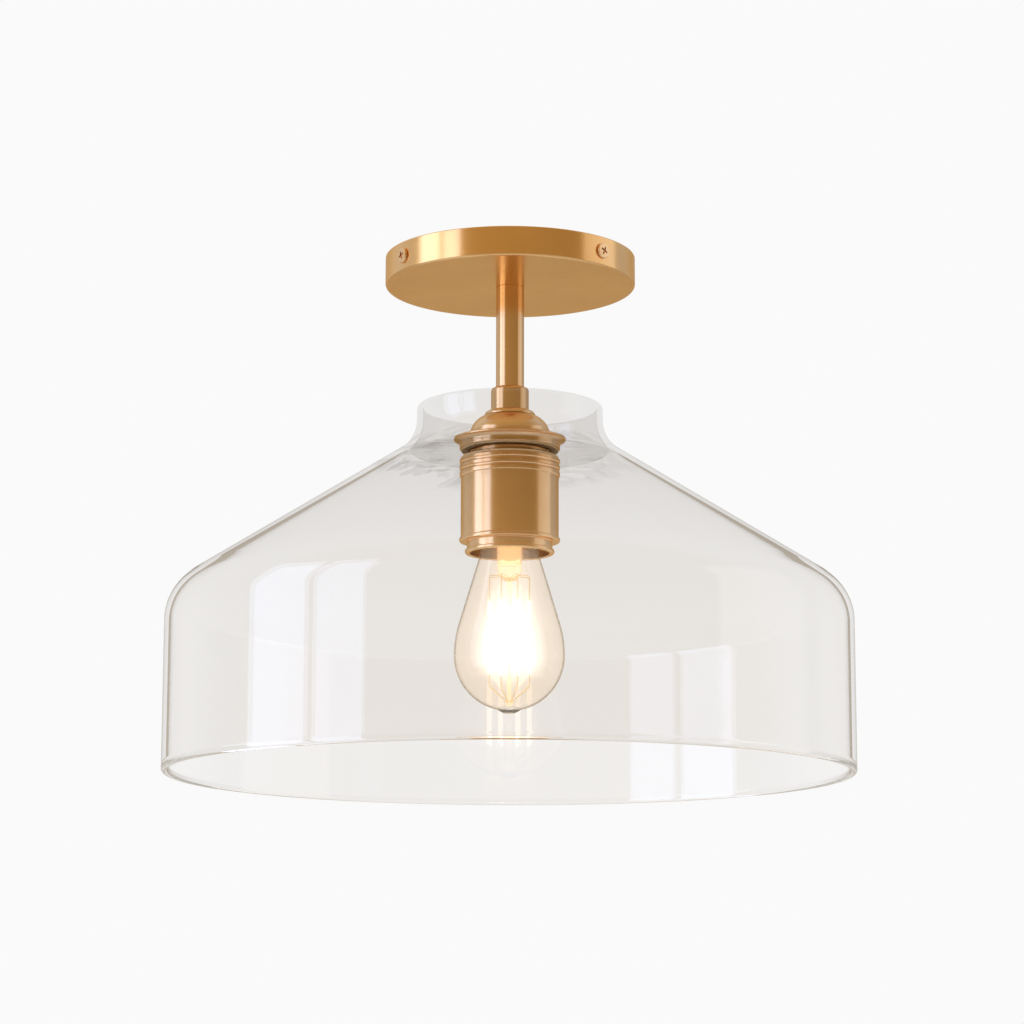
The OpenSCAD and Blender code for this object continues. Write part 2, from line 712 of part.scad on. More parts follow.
foot_reach = foot_screw_r + foot_head_d / 2 - 0.3;
module at_feet() for (a = [0, 180]) rotate([0, 0, a]) translate([0, foot_screw_r, 0]) children();
module socket_bracket() color(steel) difference() {
    union() {
        translate([-bracket_w / 2, -bracket_span / 2, z_bracket_top - bracket_t])
            cube([bracket_w, bracket_span, bracket_t]);
        translate([0, 0, z_bracket_top - bracket_t]) cylinder(d = dome_washer_d, h = bracket_t);
        for (a = [0, 180]) rotate([0, 0, a]) {
            translate([-bracket_w / 2, bracket_span / 2 - bracket_t, z_dome_foot])
                cube([bracket_w, bracket_t, z_bracket_top - z_dome_foot]);
            translate([-bracket_w / 2, bracket_span / 2 - bracket_t, z_dome_foot])
                cube([bracket_w, foot_reach - bracket_span / 2 + bracket_t, bracket_t]);
        }
    }
    translate([0, 0, z_bracket_top - 2 * bracket_t])
        cylinder(d = nipple_d + 2 * thread_gap, h = 3 * bracket_t);
    at_feet() translate([0, 0, z_dome_foot - 1])
        cylinder(d = foot_screw_d + 2 * thread_gap, h = bracket_t + 2, $fn = 32);
}

module socket_locknut() color(steel) locknut(z_dome_nut_foot);

module foot_screws() color(steel) at_feet() translate([0, 0, z_dome_foot + bracket_t])
    cross_screw(foot_screw_d, foot_screw_len, foot_head_d, foot_head_h, $fn = 32);

// Flange over the glass: lip, hollow flare, collar and threaded spigot in one turned piece
module shade_flange() color(brass) difference() {
    rotate_extrude() difference() {
        union() {
            band(0, lip_d / 2, z_dome_foot, z_dome_foot - lip_t);
            band(0, flange_collar_d / 2, z_dome_foot, z_flange_foot);
            flare_r = (lip_d - flange_collar_d) / 2 - 0.4;
            round_in([flange_collar_d / 2, z_dome_foot - lip_t], [1, -1], flare_r);
            band(0, spigot_d / 2, z_dome_foot, z_spigot_foot);
        }
        round_off([lip_d / 2, z_dome_foot], [-1, -1], lip_t / 2);
        round_off([lip_d / 2, z_dome_foot - lip_t], [-1, 1], lip_t / 3);
        band(-1, holder_boss_d / 2 + fit_gap * 2, z_dome_foot + 1, z_spigot_foot);
        band(-1, spigot_bore / 2, z_plate_foot, z_spigot_foot - 1);
        for (i = [0:floor((spigot_len - flange_h) / spigot_pitch) - 1])
            translate([spigot_d / 2, z_spigot_foot + spigot_pitch * (i + 0.6)])
                polygon([[skin, -spigot_thread_depth], [skin, spigot_thread_depth],
                    [-spigot_thread_depth, 0]]);
    }
    at_feet() translate([0, 0, z_plate_foot - 1])
        cylinder(d = foot_screw_d + 2 * thread_gap, h = flange_plate_t + 2, $fn = 32);
}

// Lampholder

module lampholder_body() color(black) difference() {
    union() {
        translate([0, 0, z_holder_foot]) cylinder(d = holder_d, h = holder_h);
        translate([0, 0, z_plate_foot - 1]) cylinder(d = holder_boss_d, h = flange_plate_t + 1);
    }
    translate([0, 0, z_holder_foot - 1])
        cylinder(d = shell_out_d + 2 * thread_gap, h = holder_h - holder_web_t + 1);
    at_feet() translate([0, 0, z_dome_foot + bracket_t - foot_screw_len - 0.6])
        cylinder(d = foot_screw_d + 2 * thread_gap, h = foot_screw_len, $fn = 32);
    for (side = [-1, 1]) translate([side * terminal_screw_x, 0, z_terminal + strip_t
            - terminal_screw_len - 0.4])
        cylinder(d = terminal_screw_d + 2 * thread_gap, h = terminal_screw_len + 1, $fn = 32);
    for (at = [live_rivet, neutral_rivet]) translate([at[0], at[1], z_web_foot - 1])
        cylinder(d = rivet_d + 2 * fit_gap, h = holder_web_t + flange_plate_t + 2, $fn = 32);
}

// Flat brass strip on top of the boss, from x_in to x_out, cut to the boss's round edge
module terminal_strip(x_in, x_out, rivet) translate([0, 0, z_terminal]) difference() {
    intersection() {
        translate([min(x_in, x_out), -3.4, 0]) cube([abs(x_out - x_in), 9.6, strip_t]);
        cylinder(d = holder_boss_d - 1.2, h = strip_t);
    }
    translate([x_in < 0 ? -terminal_screw_x : terminal_screw_x, 0, -1])
        cylinder(d = terminal_screw_d + 2 * thread_gap, h = strip_t + 2, $fn = 32);
    translate([rivet[0], rivet[1], -1])
        cylinder(d = rivet_d + 2 * fit_gap, h = strip_t + 2, $fn = 32);
}
module live_terminal() color(brass) terminal_strip(-2, -12, live_rivet);
module neutral_terminal() color(steel) terminal_strip(3, 12, neutral_rivet);

module terminal_screws() color(steel)
    for (side = [-1, 1]) translate([side * terminal_screw_x, 0, z_terminal + strip_t])
        rotate([0, 0, 90]) slot_screw(terminal_screw_d, terminal_screw_len, terminal_head_d,
            terminal_head_h, $fn = 32);

module terminal_rivets() color(brass)
    for (r = [[live_rivet, strip_t], [neutral_rivet, shell_t]])
        translate([r[0][0], r[0][1], 0]) {
            foot = z_web_foot - r[1];
            translate([0, 0, foot]) cylinder(d = rivet_d, h = z_terminal + strip_t - foot, $fn = 32);
            translate([0, 0, z_terminal + strip_t])
                cylinder(d = rivet_head_d, h = rivet_head_h, $fn = 32);
            translate([0, 0, foot - rivet_head_h / 2])
                cylinder(d = rivet_head_d, h = rivet_head_h / 2, $fn = 32);
        }

// Screw shell: thin sheet with rounded ridges, and a flange at its top that is riveted to the web
shell_ridge_r = 0.7;
shell_mid_r = shell_bore / 2;
shell_out_d = shell_bore + 2 * shell_t + 2 * shell_ridge_r;
shell_flange_in_d = 16;
module screw_shell() color(brass) difference() {
    rotate_extrude() difference() {
        union() {
            band(shell_flange_in_d / 2, shell_mid_r + shell_t, z_web_foot, z_web_foot - shell_t);
            band(shell_mid_r, shell_mid_r + shell_t, z_web_foot, z_web_foot - shell_len);
            at_shell_ridges() circle(shell_ridge_r + shell_t, $fn = 32);
        }
        at_shell_ridges() circle(shell_ridge_r, $fn = 32);
        band(shell_mid_r - shell_ridge_r - 2 * shell_t, shell_mid_r, z_web_foot - shell_t,
            z_web_foot - shell_len - 1);
    }
    translate([neutral_rivet[0], neutral_rivet[1], z_web_foot - 2 * shell_t])
        cylinder(d = rivet_d + 2 * fit_gap, h = 3 * shell_t, $fn = 32);
}
module at_shell_ridges()
    for (i = [0:floor((shell_len - 5) / cap_pitch) - 1])
        translate([shell_mid_r, z_web_foot - 4 - cap_pitch * i]) children();

// Spring tongue from the live rivet to the middle, where the lamp's contact meets it
tongue_w = 4.4;
module centre_contact() color(brass) difference() {
    union() {
        translate([0, 0, z_web_foot - strip_t])
            cylinder(d = tongue_w, h = strip_t, $fn = 32);
        rotate([0, 0, atan2(live_rivet[1], live_rivet[0])])
            translate([0, -tongue_w / 2, z_web_foot - strip_t])
                cube([norm(live_rivet) + 1.6, tongue_w, strip_t]);
        translate([0, 0, z_lamp_top + fit_gap]) cylinder(d = 2.6, h = contact_spring_h, $fn = 32);
    }
    translate([live_rivet[0], live_rivet[1], z_web_foot - 2 * strip_t])
        cylinder(d = rivet_d + 2 * fit_gap, h = 3 * strip_t, $fn = 32);
}

// Gaskets, glass and the cup that clamps it

module gasket(z_top) color("#e9e7e2")
    ring(gasket_d, floor_hole_d + 0.6, z_top, z_top - gasket_t);
module upper_gasket() gasket(z_flange_foot);
module lower_gasket() gasket(z_glass_floor_foot);

// Where the middle of the glass's wall lies at a level in the hollow curve or on the cone
fillet_low = fillet_mid - (neck_fillet_r + glass_t / 2) * cone_normal;
function wall_mid_x(z) = z > fillet_low[1]
    ? fillet_mid[0] - sqrt(pow(neck_fillet_r + glass_t / 2, 2) - pow(fillet_mid[1] - z, 2))
    : fillet_low[0] + (fillet_low[1] - z) / tan(cone_slope);
rim_r = glass_t / 2;

// The shade is one piece of glass: rounded rim, neck, hollow curve, cone, shoulder, wall and rim,
// with a floor in its neck
module glass_shade() color(clear) union() {
    rotate_extrude($fn = 128) intersection() {
        translate([neck_d / 2 - rim_r, z_neck_rim - rim_r]) circle(rim_r, $fn = 48);
        band(0, neck_d, z_neck_rim + 1, z_neck_rim - rim_r);
    }
    rotate_extrude($fn = 128)
        band(neck_d / 2 - glass_t, neck_d / 2, z_neck_rim - rim_r, fillet_mid[1]);
    rotate_extrude($fn = 128)
        ring_part(fillet_mid, neck_fillet_r, neck_fillet_r + glass_t, 180, 270 - cone_slope);
    rotate_extrude($fn = 128) straight_part(fillet_mid - neck_fillet_r * cone_normal,
        shoulder_mid + shoulder_r * cone_normal, -glass_t, cone_normal);
    rotate_extrude($fn = 128)
        ring_part(shoulder_mid, shoulder_r - glass_t, shoulder_r, 0, 90 - cone_slope);
    rotate_extrude($fn = 128)
        band(shade_d / 2 - glass_t, shade_d / 2, shoulder_mid[1], z_shade_rim + rim_r);
    rotate_extrude($fn = 128) intersection() {
        translate([shade_d / 2 - rim_r, z_shade_rim + rim_r]) circle(rim_r, $fn = 48);
        band(0, shade_d, z_shade_rim + rim_r, z_shade_rim - 1);
    }
    rotate_extrude($fn = 128) polygon([
        [floor_hole_d / 2, z_glass_floor], [wall_mid_x(z_glass_floor), z_glass_floor],
        [wall_mid_x(z_glass_floor_foot), z_glass_floor_foot],
        [floor_hole_d / 2, z_glass_floor_foot]
    ]);
}

module socket_cup() color(brass) rotate_extrude() difference() {
    union() {
        band(0, ridge_d / 2, z_cup_top, z_cup_body);
        band(0, cup_d / 2, z_cup_top, z_cup_foot);
        band(0, cup_lip_d / 2, z_cup_foot + cup_lip_h, z_cup_foot);
    }
    step = ridge_h / (groove_count + 0.65);
    round_off([ridge_d / 2, z_cup_top], [-1, -1], groove_depth);
    for (i = [1:groove_count])
        translate([ridge_d / 2 + groove_depth * 0.2, z_cup_top - step * (i - 0.2)])
            circle(groove_depth * 1.2, $fn = 48);
    round_off([ridge_d / 2, z_cup_body], [-1, 1], groove_depth);
    round_off([cup_lip_d / 2, z_cup_foot + cup_lip_h], [-1, -1], (cup_lip_d - cup_d) / 2);
    round_off([cup_lip_d / 2, z_cup_foot], [-1, 1], 0.5);
    band(-1, cup_thread_r, z_cup_top + 1, z_cup_foot - 1);
    band(-1, cup_inner_r, z_cup_body, z_cup_foot - 1);
}

module cup_liner() color("#3a342e") ring(2 * (cup_inner_r - fit_gap),
    2 * (cup_inner_r - fit_gap - liner_t), z_cup_body - fit_gap, z_end_collar);

module end_ring() color(brass) rotate_extrude() difference() {
    union() {
        band(0, cup_inner_r - fit_gap, z_end_collar, z_cup_foot);
        band(0, end_neck_d / 2, z_cup_foot, z_end_foot);
        band(0, end_bead_d / 2, z_end_foot + end_bead_h, z_end_foot);
    }
    round_off([end_bead_d / 2, z_end_foot + end_bead_h], [-1, -1], 0.6);
    round_off([end_bead_d / 2, z_end_foot], [-1, 1], 0.9);
    band(-1, end_opening_d / 2, z_end_collar + 1, z_end_foot - 1);
}

// Lamp

// A curved part of the bulb's skin, between two radii and two levels
module skin_part(mid, r_in, r_out, z_top, z_foot) intersection() {
    translate(mid) difference() {
        circle(r_out, $fn = 256);
        circle(r_in, $fn = 256);
    }
    band(0, max(bulb_d, mid[0]), z_top, z_foot);
}

// The bulb is one skin of glass: belly, side, flank, throat and neck, with a shallow pip at its foot
pip_drop = 1.6;
pip_sag = bulb_d / 2 + pip_drop - sqrt(pow(bulb_d / 2, 2) - pow(pip_w / 2, 2));
pip_r = (pow(pip_w / 2, 2) + pow(pip_sag, 2)) / (2 * pip_sag);
module bulb_glass() color([1, 0.93, 0.8, 0.4]) union() {
    belly_r = bulb_d / 2;
    rotate_extrude() skin_part([0, z_belly], belly_r - bulb_t, belly_r, z_belly, z_bulb_foot - 1);
    rotate_extrude() skin_part([side_mid_x, z_belly], bulb_side_r - bulb_t, bulb_side_r,
        z_flank_foot, z_belly);
    rotate_extrude() polygon([
        [flank_foot_x, z_flank_foot], [flank_head_x, z_flank_head],
        [flank_head_x - bulb_t / cos(bulb_flank), z_flank_head],
        [flank_foot_x - bulb_t / cos(bulb_flank), z_flank_foot]
    ]);
    rotate_extrude() skin_part([throat_mid_x, z_throat_mid], throat_r, throat_r + bulb_t,
        z_throat_mid, z_flank_head);
    rotate_extrude()
        band(bulb_neck_d / 2 - bulb_t, bulb_neck_d / 2, z_bulb_neck_top, z_throat_mid);
    rotate_extrude() difference() {
        intersection() {
            translate([0, z_bulb_foot - pip_drop + pip_r]) circle(pip_r);
            band(0, pip_w, z_bulb_foot + pip_sag, z_bulb_foot - 2 * pip_drop);
        }
        translate([0, z_belly]) circle(belly_r - bulb_t / 2);
    }
}

// Metal shell of the cap, with rounded ridges for its thread, over the neck of the bulb
cap_ridge_r = 1.1;
module bulb_cap() color("#cfc3a6") rotate_extrude() difference() {
    union() {
        band(0, cap_root_d / 2, z_cap_top, z_cap_foot);
        band(0, bulb_neck_d / 2 + cap_sheet + fit_gap, z_cap_foot + 4, z_cap_foot);
        for (i = [0:floor((cap_len - 6) / cap_pitch) - 1])
            translate([cap_d / 2 - cap_ridge_r, z_cap_top - 2.6 - cap_pitch * i])
                circle(cap_ridge_r, $fn = 32);
    }
    round_off([cap_root_d / 2, z_cap_top], [-1, -1], 0.9);
    band(-1, cap_root_d / 2 - cap_sheet, z_cap_top - cap_sheet, z_cap_foot + 3.5);
    band(-1, bulb_neck_d / 2 + fit_gap, z_cap_foot + 3.6, z_cap_foot - 1);
    band(-1, cap_hole_d / 2, z_cap_top + 1, z_cap_foot);
}

cap_hole_d = 19;
button_d = 9.6;
module bulb_insulator() color(black) rotate_extrude() difference() {
    polygon([
        [0, z_lamp_top - contact_button_h], [button_d / 2, z_lamp_top - contact_button_h],
        [cap_hole_d / 2 - fit_gap, z_cap_top], [cap_hole_d / 2 - fit_gap, z_cap_top - 1.5],
        [0, z_cap_top - 1.5]
    ]);
    band(-1, 1, z_lamp_top, z_cap_top - 2);
}

module bulb_tip_contact() color(steel) rotate_extrude() difference() {
    band(0, button_d / 2 - 0.3, z_lamp_top, z_lamp_top - contact_button_h);
    round_off([button_d / 2 - 0.3, z_lamp_top], [-1, -1], 0.8);
}

// Glass mount: a flared tube fused to the neck, closed at its foot, with a rod down to a bead
z_mount_top = z_cap_foot + 2;
z_mount_foot = z_belly + mount_rise;
mount_neck_r = bulb_neck_d / 2 - bulb_t - fit_gap;
rod_d = 2.2;
bead_glass_r = 2.2;
z_glass_bead = z_bulb_foot + bulb_t + 1.4 + bead_glass_r;
module bulb_mount() color([1, 0.8, 0.5, 0.6]) difference() {
    union() {
        rotate_extrude() difference() {
            union() {
                band(0, mount_d / 2, z_mount_top, z_mount_foot + mount_d / 2);
                band(0, mount_neck_r, z_mount_top, z_mount_top - 1.2);
                round_in([mount_d / 2, z_mount_top - 1.2], [1, -1], mount_neck_r - mount_d / 2 - 1);
            }
            band(-1, mount_d / 2 - 1, z_mount_top + 1, z_mount_foot + mount_d / 2 + 1.6);
        }
        rotate_extrude()
            ring_part([0, z_mount_foot + mount_d / 2], 0, mount_d / 2, -90, 0);
        translate([0, 0, z_glass_bead])
            cylinder(d = rod_d, h = z_mount_foot - z_glass_bead + 1, $fn = 32);
        translate([0, 0, z_glass_bead]) sphere(bead_glass_r, $fn = 32);
    }
    head_wires(wire_d + 2 * fit_gap);
    foot_wires(wire_d + 2 * fit_gap);
}

// Filaments stand upright in a ring; each hangs from a bent wire and stands on another
z_filament_foot = z_belly - filament_drop;
z_filament_head = z_filament_foot + filament_len;
module at_filaments()
    for (i = [0:filament_count - 1]) rotate([0, 0, (i + 0.5) * 360 / filament_count]) children();

module bulb_filaments() color("#ffe2a0") at_filaments()
    translate([filament_r, 0, z_filament_foot]) cylinder(d = filament_d, h = filament_len, $fn = 24);

// From the solid end of the mount outwards and down to the filaments' heads
wire_bend_r = 1.5;
head_start_r = 1.6;
z_head_wire = z_mount_foot + 2.4;
module head_wires(d) at_filaments() translate([head_start_r, 0, z_head_wire]) rotate([0, 90, 0])
    wire([
        [filament_r - head_start_r - wire_bend_r], [90, 0],
        [z_head_wire - wire_bend_r - z_filament_head - fit_gap]
    ], d, wire_bend_r);
module bulb_head_wires() color(steel) head_wires(wire_d);

// From the bead outwards and up to a small welded joint, and from there upright to the filaments
foot_start_r = 1.2;
fan_lean = 50;
fan_len = (filament_r - foot_start_r) / sin(fan_lean);
z_weld = z_glass_bead + fan_len * cos(fan_lean);
module foot_wires(d) at_filaments() {
    translate([foot_start_r, 0, z_glass_bead]) rotate([0, fan_lean, 0])
        cylinder(d = d, h = fan_len, $fn = 32);
    translate([filament_r, 0, z_weld]) sphere(d = d * 1.2, $fn = 32);
    translate([filament_r, 0, z_weld])
        cylinder(d = d, h = z_filament_foot - z_weld - fit_gap, $fn = 32);
}
module bulb_foot_wires() color(steel) foot_wires(wire_d);

canopy();
canopy_side_screws();
mounting_plate();
earth_screw();
terminal_block();
terminal_sleeves();
clamp_screws();
block_screws();
canopy_nipple();
canopy_washer();
earth_lug();
canopy_locknut();
earth_lead();
live_lead();
neutral_lead();
stem_tube();
stem_top_bush();
stem_bottom_bush();
stem_collar();
socket_nipple();
socket_dome();
dome_washer();
socket_bracket();
socket_locknut();
foot_screws();
shade_flange();
lampholder_body();
live_terminal();
neutral_terminal();
terminal_screws();
terminal_rivets();
screw_shell();
centre_contact();
upper_gasket();
glass_shade();
lower_gasket();
socket_cup();
cup_liner();
end_ring();
bulb_glass();
bulb_cap();
bulb_insulator();
bulb_tip_contact();
bulb_mount();
bulb_head_wires();
bulb_foot_wires();
bulb_filaments();
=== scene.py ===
# %% [markdown]
# # A brass and glass ceiling light
# This lesson dresses a finished mechanical model of a ceiling light. The model already holds every
# piece at its true place; here the pieces that the eye rests on are turned again with smooth
# outlines, and everything gets its finish. The work goes from the top down: camera and room, brass,
# glass, lamp, and last the small hidden pieces.

# %% Load the model
import json
import math

import bpy
from mathutils import Matrix, Vector


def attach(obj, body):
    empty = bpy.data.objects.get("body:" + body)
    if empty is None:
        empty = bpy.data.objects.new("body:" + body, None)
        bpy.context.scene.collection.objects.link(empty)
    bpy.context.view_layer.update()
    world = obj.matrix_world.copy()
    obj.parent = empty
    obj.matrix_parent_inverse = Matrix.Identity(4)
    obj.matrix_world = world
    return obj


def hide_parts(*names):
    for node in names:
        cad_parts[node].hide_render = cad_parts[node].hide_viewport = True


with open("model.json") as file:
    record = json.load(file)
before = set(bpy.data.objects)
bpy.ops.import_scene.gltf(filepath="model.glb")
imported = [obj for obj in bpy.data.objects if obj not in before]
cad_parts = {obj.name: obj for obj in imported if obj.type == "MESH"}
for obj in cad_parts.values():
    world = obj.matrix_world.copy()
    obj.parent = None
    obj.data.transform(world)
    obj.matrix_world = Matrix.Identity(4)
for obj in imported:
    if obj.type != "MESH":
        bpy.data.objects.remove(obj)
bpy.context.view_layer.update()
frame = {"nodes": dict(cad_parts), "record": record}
nodes = frame["nodes"]
scene = bpy.context.scene
print("pieces in the model:", len(nodes))

# %% [markdown]
# ## Camera
# The light hangs from a ceiling and is photographed from a little below with a long lens, so the
# canopy's underside shows and the open foot of the shade is a thin ellipse. The camera stands 1.6 m
# in front and looks up by about ten degrees. It could be aimed by a constraint; a plain matrix is
# used, because its place and its two turns can be read at once. The lens has no shift, so other
# views stay true.

# %% Place the camera
LOOK_UP, ROLL = 10.35, 0.12
CAMERA_PLACE = (0.0012, -1.5661, -0.4222)

camera_data = bpy.data.cameras.new("camera")
camera_data.lens = 107.16
camera_data.sensor_width = 36.0
camera_data.clip_start = 0.05
camera = bpy.data.objects.new("camera", camera_data)
scene.collection.objects.link(camera)
tilt = Matrix.Rotation(math.radians(90 + LOOK_UP), 4, "X")
roll = Matrix.Rotation(math.radians(ROLL), 4, "Z")
camera.matrix_world = Matrix.Translation(CAMERA_PLACE) @ tilt @ roll
scene.camera = camera
print("camera looks up by", LOOK_UP, "degrees with a lens of", round(camera_data.lens, 1), "mm")

# %% [markdown]
# ## Node trees
# The room, the floor and every finish are small node trees. They could be laid out by hand in the
# node editor; written as code, they can be read from top to bottom and made again. A few helpers
# keep them short: one adds a node and sets or links its sockets by name, the others do a sum, a
# change of range, a ramp and a mix in one line each.

# %% Helpers that set and link sockets
def plug(value, socket):
    """Links a socket to another node's output, or sets it to a plain value."""
    if isinstance(value, bpy.types.NodeSocket):
        socket.id_data.links.new(value, socket)
    else:
        socket.default_value = value


def set_sockets(node, **values):
    """Sets or links a node's sockets by name; an underscore stands for a space."""
    for key, value in values.items():
        plug(value, node.inputs[key.replace("_", " ")])


def add_node(tree, kind, settings=None, **values):
    """Adds a node; settings are its options, the rest are its sockets."""
    node = tree.nodes.new(kind)
    for key, value in (settings or {}).items():
        setattr(node, key, value)
    set_sockets(node, **values)
    return node


# %% Helpers for sums, ranges and ramps
def maths(tree, operation, *values, clamp=False):
    """One sum; each value is a number or another node's output."""
    node = add_node(tree, "ShaderNodeMath", {"operation": operation, "use_clamp": clamp})
    for value, socket in zip(values, node.inputs):
        plug(value, socket)
    return node.outputs[0]


def map_range(tree, value, start, end, low, high, kind="LINEAR"):
    """Stretches start to end into low to high, and holds the ends."""
    node = add_node(tree, "ShaderNodeMapRange", {"interpolation_type": kind}, Value=value,
                    From_Min=start, From_Max=end, To_Min=low, To_Max=high)
    return node.outputs["Result"]


def colour_ramp(tree, value, stops):
    """Turns a number into a colour; stops are rising pairs of a place and a colour or level."""
    node = add_node(tree, "ShaderNodeValToRGB", Fac=value)
    marks = node.color_ramp.elements
    for i, (place, colour) in enumerate(stops):
        mark = marks[i] if i < 2 else marks.new(place)
        rgb = colour if isinstance(colour, tuple) else (colour, colour, colour)
        mark.position, mark.color = place, (*rgb, 1)
    return node.outputs["Color"]


def mix_shaders(tree, share, first, second):
    """Mixes two shaders; where the share is 1, only the second is seen."""
    node = add_node(tree, "ShaderNodeMixShader", Fac=share)
    plug(first.outputs[0], node.inputs[1])
    plug(second.outputs[0], node.inputs[2])
    return node


# %% [markdown]
# ## Room and lamps
# Brass and glass are mostly made of what they mirror. The room that they mirror is warm and dark
# towards the camera, paler behind, and a little brighter on the left and overhead, which keeps the
# middle of each cylinder deep and golden. A picture of a real room could be wrapped round the
# scene, but brass blurs what it mirrors, so a ramp of five colours is enough.

# %% The room that metal and glass mirror
scene.view_settings.view_transform = "Standard"
world = bpy.data.worlds.new("room")
scene.world = world
world.use_nodes = True
room = world.node_tree
room.nodes.clear()
where = add_node(room, "ShaderNodeTexCoord")
axes = add_node(room, "ShaderNodeSeparateXYZ", Vector=where.outputs["Generated"])
front_to_back = colour_ramp(room, map_range(room, axes.outputs["Y"], -1, 1, 0, 1), [
    (0.0, (0.46, 0.32, 0.14)), (0.35, (0.46, 0.32, 0.14)), (0.6, (0.54, 0.51, 0.46)),
    (0.82, (0.62, 0.62, 0.61)), (1.0, (0.54, 0.48, 0.4))])
left_to_right = map_range(room, axes.outputs["X"], -1, 1, 1.12, 0.84)
overhead = map_range(room, axes.outputs["Z"], 0.3, 1, 1.0, 1.4)
mirrored = add_node(room, "ShaderNodeBackground", Color=front_to_back,
                    Strength=maths(room, "MULTIPLY", left_to_right, overhead))
white = add_node(room, "ShaderNodeBackground", Color=(0.955, 0.955, 0.955, 1))
plain = add_node(room, "ShaderNodeBackground", Color=(0.6, 0.6, 0.6, 1))
print("three backgrounds: mirrored, white and plain")

# %% [markdown]
# Glass and brass on a white page need two rooms at once: white where the camera looks, and a darker
# one for what the metal mirrors. The kind of ray chooses between them. Lighting the wall with lamps
# would work too, but would flatten the brass.

# %% Which ray sees which room
ray = add_node(room, "ShaderNodeLightPath")
met_mirror = maths(room, "GREATER_THAN", ray.outputs["Glossy Depth"], 0.5)
through_glass = maths(room, "SUBTRACT", ray.outputs["Is Transmission Ray"], met_mirror, clamp=True)
seen = maths(room, "MAXIMUM", ray.outputs["Is Camera Ray"], through_glass)
not_seen = mix_shaders(room, met_mirror, plain, mirrored)
all_rays = mix_shaders(room, seen, not_seen, white)
add_node(room, "ShaderNodeOutputWorld", Surface=all_rays.outputs[0])
print("the camera sees white, mirrors see the room")

# %% [markdown]
# Two tall window panes on the left, a little blue, give the bright stripe on every brass cylinder
# and the white bars on the glass. A weaker, neutral panel on the right gives the second, softer
# stripe. Spot or point lamps would leave small hard lights; a flat panel is mirrored as the bar
# that it is.

# %% Lamps
DAYLIGHT, NEUTRAL = (0.57, 0.7, 1.0), (1, 1, 1)
PANEL_UP, PANEL_AWAY = 0.15, 2.0


def panel(name, angle, width, height, level, colour):
    """Hangs a soft panel round the light: angle in degrees from the front, left is negative."""
    data = bpy.data.lights.new(name, "AREA")
    data.shape = "RECTANGLE"
    data.size, data.size_y = width, height
    data.energy = level * math.pi * width * height
    data.color = colour
    lamp = bpy.data.objects.new(name, data)
    scene.collection.objects.link(lamp)
    a = math.radians(angle)
    place = Vector((math.sin(a) * PANEL_AWAY, -math.cos(a) * PANEL_AWAY, PANEL_UP))
    aim = Vector((-place.x, -place.y, 0)).to_track_quat("-Z", "Y")
    lamp.matrix_world = Matrix.Translation(place) @ aim.to_matrix().to_4x4()


panel("window_back", -77.9, 0.82, 2.2, 2.1, DAYLIGHT)
panel("window_front", -54.4, 0.62, 2.2, 1.85, DAYLIGHT)
panel("fill_right", 90, 1.5, 2.0, 0.46, NEUTRAL)
print("three soft panels")

# %% [markdown]
# ## Floor
# A plain pale floor lies more than a metre under the light. It is far below the camera's view, but
# the canopy's underside mirrors it and it shows in the views from above. It glows a little for the
# camera, also through the glass, so that it looks as bright as the wall. A lamp for the floor alone
# would do the same, but would also light the brass from below.

# %% Floor
FLOOR_Z = -1.15
GLOW_SHARE = 0.7


def leave_edit_mode():
    """Leaves nothing selected, so that the next operator acts on the new piece alone."""
    if bpy.context.object and bpy.context.object.mode != "OBJECT":
        bpy.ops.object.mode_set(mode="OBJECT")
    bpy.ops.object.select_all(action="DESELECT")


leave_edit_mode()
bpy.ops.mesh.primitive_plane_add(size=8, location=(0, 0, FLOOR_Z))
floor = bpy.context.object
floor.name = "floor"
paint = bpy.data.materials.new("pale_floor")
paint.use_nodes = True
tree = paint.node_tree
tree.nodes.clear()
matt = add_node(tree, "ShaderNodeBsdfDiffuse", Color=(0.77, 0.8, 0.82, 1))
glow = add_node(tree, "ShaderNodeEmission", Color=(0.95, 0.95, 0.95, 1))
ray = add_node(tree, "ShaderNodeLightPath")
seen = maths(tree, "MAXIMUM", ray.outputs["Is Camera Ray"], ray.outputs["Is Transmission Ray"])
surface = mix_shaders(tree, maths(tree, "MULTIPLY", seen, GLOW_SHARE), matt, glow)
add_node(tree, "ShaderNodeOutputMaterial", Surface=surface.outputs[0])
floor.data.materials.append(paint)
print("floor at", floor.location.z, "m")

# %% [markdown]
# ## Turning a piece
# Nearly every piece of this light is made on a lathe or blown in a round mould, so one way of
# working serves them all. The outline is written in millimetres from the axis and from the ceiling,
# so it can be compared with a drawing.

# %% Outlines
MM = 0.001
CORNER_GAP = 0.25


def arc(x, z, r, start, end, parts):
    """Points on part of a circle in an outline, from one angle to another in degrees."""
    angles = [math.radians(start + (end - start) * i / parts) for i in range(parts + 1)]
    return [(x + r * math.cos(a), z + r * math.sin(a)) for a in angles]


def keep_straight(outline):
    """Adds a point near both ends of each long straight, so that smooth shading keeps it flat."""
    points = [outline[0]]
    for (ax, az), (bx, bz) in zip(outline, outline[1:]):
        length = math.hypot(bx - ax, bz - az)
        if length > 8 * CORNER_GAP:
            t = CORNER_GAP / length
            points += [(ax + (bx - ax) * t, az + (bz - az) * t)]
            points += [(bx - (bx - ax) * t, bz - (bz - az) * t)]
        points.append((bx, bz))
    return points


# %% [markdown]
# A plane is merged to a single point, the point is extruded along half of the outline, and spin
# carries the outline round the axis. A screw modifier on a curve could do it too; operators are
# used, because each step leaves a mesh that can be looked at. A hollow piece has a closed outline,
# a solid one an open outline that starts and ends on the axis.

# %% Spin
WELD = 2e-6


